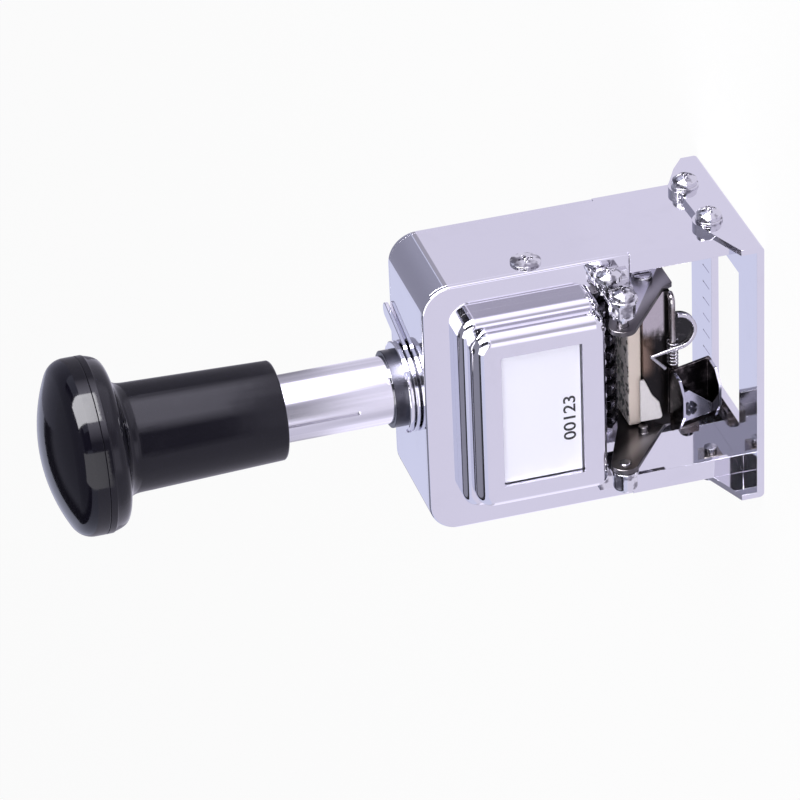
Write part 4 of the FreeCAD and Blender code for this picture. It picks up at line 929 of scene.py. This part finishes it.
class NUMBERING_OT_pad(bpy.types.Operator):
    """Dress the ink arms and tray, and make the felt pad"""
    bl_idname = "numbering.pad"
    bl_label = "Ink pad and arms"

    def execute(self, context):
        looks = {"right_ink_arm": "arm", "left_ink_arm": "arm", "ink_tray": "tray", "finger_tongue": "tongue"}
        for node, look in looks.items():
            dress(node, finish(look), EDGE_STRIP)
        dress("pad_tab", finish("board"), EDGE_SOFT)
        self.felt_pad()
        return {"FINISHED"}

    def felt_pad(self):
        """A felt block with crowned faces, soft corners and an uneven edge."""
        low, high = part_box("ink_pad")
        size = high - low
        middle = (low + high) / 2
        shell = bmesh.new()
        bmesh.ops.create_cube(shell, size=1.0)
        bmesh.ops.subdivide_edges(shell, edges=shell.edges, cuts=PAD_CUTS, use_grid_fill=True)
        for vert in shell.verts:
            vert.co = self.felt_point(vert.co, size, middle)
        bmesh.ops.recalc_face_normals(shell, faces=shell.faces)
        piece = new_object("felt_pad", mesh_of(shell, "felt_pad", 180))
        settle(piece, finish("felt"), "ink_arms", "felt", "ink_pad")

    def felt_point(self, at, size, middle):
        """Where a point of the unit cube goes on the pad."""
        half = Vector([s / 2 for s in size])
        point = Vector([2 * at[i] * half[i] for i in range(3)])
        inner = Vector([max(-half[i] + PAD_EDGE, min(half[i] - PAD_EDGE, point[i])) for i in range(3)])
        out = point - inner
        if out.length > 1e-9:
            point = inner + out.normalized() * PAD_EDGE
        swell = max(0.0, (1 - (2 * at.x) ** 2) * (1 - (2 * at.y) ** 2))
        point.z += sizes().pad_crown * (swell - 1) * (1 if at.z > 0 else -1) * abs(2 * at.z)
        ripple = math.sin(at.x * 61) * math.sin(at.y * 23 + 1) * 0.5 + math.sin(at.x * 137 + at.z * 9) * 0.5
        point.y -= PAD_RIPPLE * (1 + ripple) * (1 if at.y > 0 else -1) * abs(2 * at.y)
        return point + middle


class NUMBERING_OT_latch(bpy.types.Operator):
    """Dress the spring rod, its small coil, the wire clip and the release yoke"""
    bl_idname = "numbering.latch"
    bl_label = "Pad latch"

    def execute(self, context):
        dress("spring_rod", finish("nickel"))
        dress("wire_clip", finish("spring"))
        dress("release_yoke", finish("latch"), EDGE_STRIP)
        self.small_coil()
        return {"FINISHED"}

    def small_coil(self):
        """The coil on the rod, wound by a tree whose inputs are its sizes."""
        low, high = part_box("small_coil")
        wire = sizes().coil_wire
        middle = (low + high) / 2
        tree = Recipe("coil", Turns="Float", Length="Float", Radius="Float", Wire="Float")
        winding = {"Resolution": 26, "Rotations": tree.value("Turns"), "Start Radius": tree.value("Radius"),
                   "End Radius": tree.value("Radius"), "Height": tree.value("Length")}
        helix = tree.node("GeometryNodeCurveSpiral", None, winding)
        section = tree.node("GeometryNodeCurvePrimitiveCircle", None,
                            {"Resolution": 12, "Radius": tree.value("Wire")})
        tube = tree.node("GeometryNodeCurveToMesh", None,
                         {"Curve": helix, "Profile Curve": section, "Fill Caps": True})
        back = tree.xyz(0.0, 0.0, tree.value("Length") * -0.5)
        centred = tree.node("GeometryNodeTransform", None, {"Geometry": tube, "Translation": back})
        laid = tree.node("GeometryNodeTransform", None,
                         {"Geometry": centred, "Rotation": (0, math.radians(90), 0), "Translation": middle})
        tree.finish(laid, finish("spring"))
        coil = tree.make("small_coil_shown", Turns=float(sizes().coil_turns), Wire=wire / 2,
                         Length=high.x - low.x - wire, Radius=(high.z - low.z - wire) / 2)
        coil.data.shade_smooth()
        settle(coil, None, BODY_OF["small_coil"], SLOT_OF["small_coil"], "small_coil")


class NUMBERING_OT_selector(bpy.types.Operator):
    """Dress the repeat selector on the rear cover and mark its places"""
    bl_idname = "numbering.selector"
    bl_label = "Repeat selector"

    def execute(self, context):
        for node in ("selector_lever", "selector_screw"):
            dress(node, finish("chrome"), EDGE_STRIP)
        dress("selector_button", finish("black"))
        dress("selector_nut", finish("steel"))
        self.scale_marks()
        return {"FINISHED"}

    def scale_marks(self):
        """Plain figures round the lever's pivot, printed on the rear cover."""
        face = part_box("rear_cover")[1].y
        low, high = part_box("selector_screw")
        pivot_z = (low.z + high.z) / 2
        shell = bmesh.new()
        for count in range(MARKS):
            width = MARK_WIDTH_ONE if count == 1 else MARK_WIDTH
            mesh = figures_mesh("mark", str(count), MARK_HEIGHT, width, THIN)
            mesh.transform(Matrix.Rotation(math.radians(90), 4, "X"))
            mesh.transform(Matrix.Rotation(math.radians(180), 4, "Z"))
            angle = math.radians(-MARK_SWEEP / 2 + MARK_SWEEP * count / (MARKS - 1))
            mesh.transform(Matrix.Translation((0, 0, MARK_RADIUS)))
            mesh.transform(Matrix.Rotation(angle, 4, "Y"))
            mesh.transform(Matrix.Translation((0, face + THIN / 4, pivot_z)))
            shell.from_mesh(mesh)
        piece = new_object("selector_figures", mesh_of(shell, "selector_figures"))
        settle(piece, finish("ink"), "frame", "chrome")


class NUMBERING_OT_studio(bpy.types.Operator):
    """Make the floor, the soft lamps, the world and the camera"""
    bl_idname = "numbering.studio"
    bl_label = "Studio"

    def execute(self, context):
        self.floor()
        self.world()
        self.soft_box("right_soft_box", bearing=81, width=1.1, height=1.28, power=10)
        self.soft_box("front_soft_box", bearing=-1, width=0.95, height=1.28, power=8.2)
        self.screen("right_card", "bright", bearings=(60, 100), heights=(-5, 50), radius=0.9)
        self.screen("front_card", "soft", bearings=(-26, 22), heights=(-5, 50), radius=0.9)
        self.screen("dark_canopy", "flag", bearings=(-180, 180), heights=(27, 90), radius=1.7)
        self.screen("grey_wall", "wall", bearings=(136, 204), heights=(1, 46), radius=1.6)
        self.screen("dark_strip", "flag", bearings=(26, 50), heights=(1, 28), radius=1.5)
        self.camera()
        context.scene.view_settings.view_transform = "Standard"
        return {"FINISHED"}

    def floor(self):
        side = studio().floor_size
        shell = bmesh.new()
        bmesh.ops.create_grid(shell, x_segments=1, y_segments=1, size=side / 2)
        bmesh.ops.translate(shell, verts=shell.verts, vec=(0, 0, -THIN))
        ground = new_object("floor", mesh_of(shell, "floor"))
        ground.data.materials.append(finish("floor"))

    def world(self):
        world = bpy.data.worlds.new("soft_white")
        world.use_nodes = True
        world.node_tree.nodes.clear()
        tree = Tree(world.node_tree)
        path = tree.node("ShaderNodeLightPath")
        seen = tree.math("MAXIMUM", path.out("Is Camera Ray"), path.out("Is Glossy Ray"))
        seen = tree.math("MAXIMUM", seen, path.out("Is Transmission Ray"))
        soft = tree.node("ShaderNodeBackground", None, {"Color": (0.95, 0.95, 1.0, 1), "Strength": 0.3})
        shown = tree.mix(path.out("Is Camera Ray"), (0.70, 0.72, 0.92), (1.0, 1.0, 1.0))
        white = tree.node("ShaderNodeBackground", None, {"Color": shown, "Strength": 1.0})
        both = tree.node("ShaderNodeMixShader", None, {0: seen, 1: soft, 2: white})
        tree.node("ShaderNodeOutputWorld", None, {"Surface": both})
        bpy.context.scene.world = world

    def soft_box(self, name, bearing, width, height, power):
        """A tall soft box that stands on the floor and faces the machine."""
        light = bpy.data.lights.new(name, "AREA")
        light.shape = "RECTANGLE"
        light.size = width
        light.size_y = height
        light.energy = power
        holder = new_object(name, light)
        away = studio().box_distance
        angle = math.radians(bearing)
        holder.location = (away * math.sin(angle), -away * math.cos(angle), height / 2)
        holder.rotation_euler = (math.radians(90), 0, angle)
        holder.visible_camera = False
        holder.visible_glossy = False

    def screen(self, name, look, bearings, heights, radius):
        """A curved screen or card that only polished surfaces see, with its angles in degrees."""
        shell = bmesh.new()
        rows = []
        for high in range(SCREEN_ROWS + 1):
            rise = math.radians(heights[0] + (heights[1] - heights[0]) * high / SCREEN_ROWS)
            row = []
            for wide in range(SCREEN_COLUMNS + 1):
                turn = math.radians(bearings[0] + (bearings[1] - bearings[0]) * wide / SCREEN_COLUMNS)
                row.append(shell.verts.new((radius * math.cos(rise) * math.sin(turn),
                                            -radius * math.cos(rise) * math.cos(turn),
                                            SCREEN_CENTRE + radius * math.sin(rise))))
            rows.append(row)
        for low, high in zip(rows, rows[1:]):
            for wide in range(SCREEN_COLUMNS):
                shell.faces.new((low[wide], low[wide + 1], high[wide + 1], high[wide]))
        screen = new_object(name, mesh_of(shell, name, 180))
        screen.data.materials.append(finish(look))
        screen.visible_camera = False
        screen.visible_diffuse = False
        screen.visible_shadow = False

    def camera(self):
        settings = studio()
        view = bpy.data.cameras.new("camera")
        view.lens = settings.lens
        view.sensor_width = 36
        holder = new_object("camera", view)
        holder.location = settings.camera_place
        holder.rotation_euler = Euler(settings.camera_turn)
        bpy.context.scene.camera = holder


# ---------------------------------------------------------------- panel and registration

STEPS = (
    NUMBERING_OT_studio, NUMBERING_OT_shell, NUMBERING_OT_card, NUMBERING_OT_fasteners,
    NUMBERING_OT_plunger, NUMBERING_OT_knob, NUMBERING_OT_carriage, NUMBERING_OT_wheels,
    NUMBERING_OT_pad, NUMBERING_OT_latch, NUMBERING_OT_selector,
)


class NUMBERING_PT_panel(bpy.types.Panel):
    bl_label = "Numbering machine"
    bl_idname = "NUMBERING_PT_panel"
    bl_space_type = "VIEW_3D"
    bl_region_type = "UI"
    bl_category = "Numbering"

    def draw(self, context):
        scene = context.scene
        for group in (scene.machine_sizes, scene.machine_colours, scene.machine_studio):
            for name in type(group).__annotations__:
                self.layout.prop(group, name)
        for step in STEPS:
            self.layout.operator(step.bl_idname)


GROUPS = {"machine_sizes": MachineSizes, "machine_colours": MachineColours, "machine_studio": StudioSettings}


def register():
    for made in (*GROUPS.values(), *STEPS, NUMBERING_PT_panel):
        bpy.utils.register_class(made)
    for name, group in GROUPS.items():
        setattr(bpy.types.Scene, name, PointerProperty(type=group))


def unregister():
    for name in GROUPS:
        delattr(bpy.types.Scene, name)
    for made in (NUMBERING_PT_panel, *reversed(STEPS), *GROUPS.values()):
        bpy.utils.unregister_class(made)


def main():
    register()
    for step in STEPS:
        group, name = step.bl_idname.split(".")
        getattr(getattr(bpy.ops, group), name)()


if __name__ == "__main__":
    main()
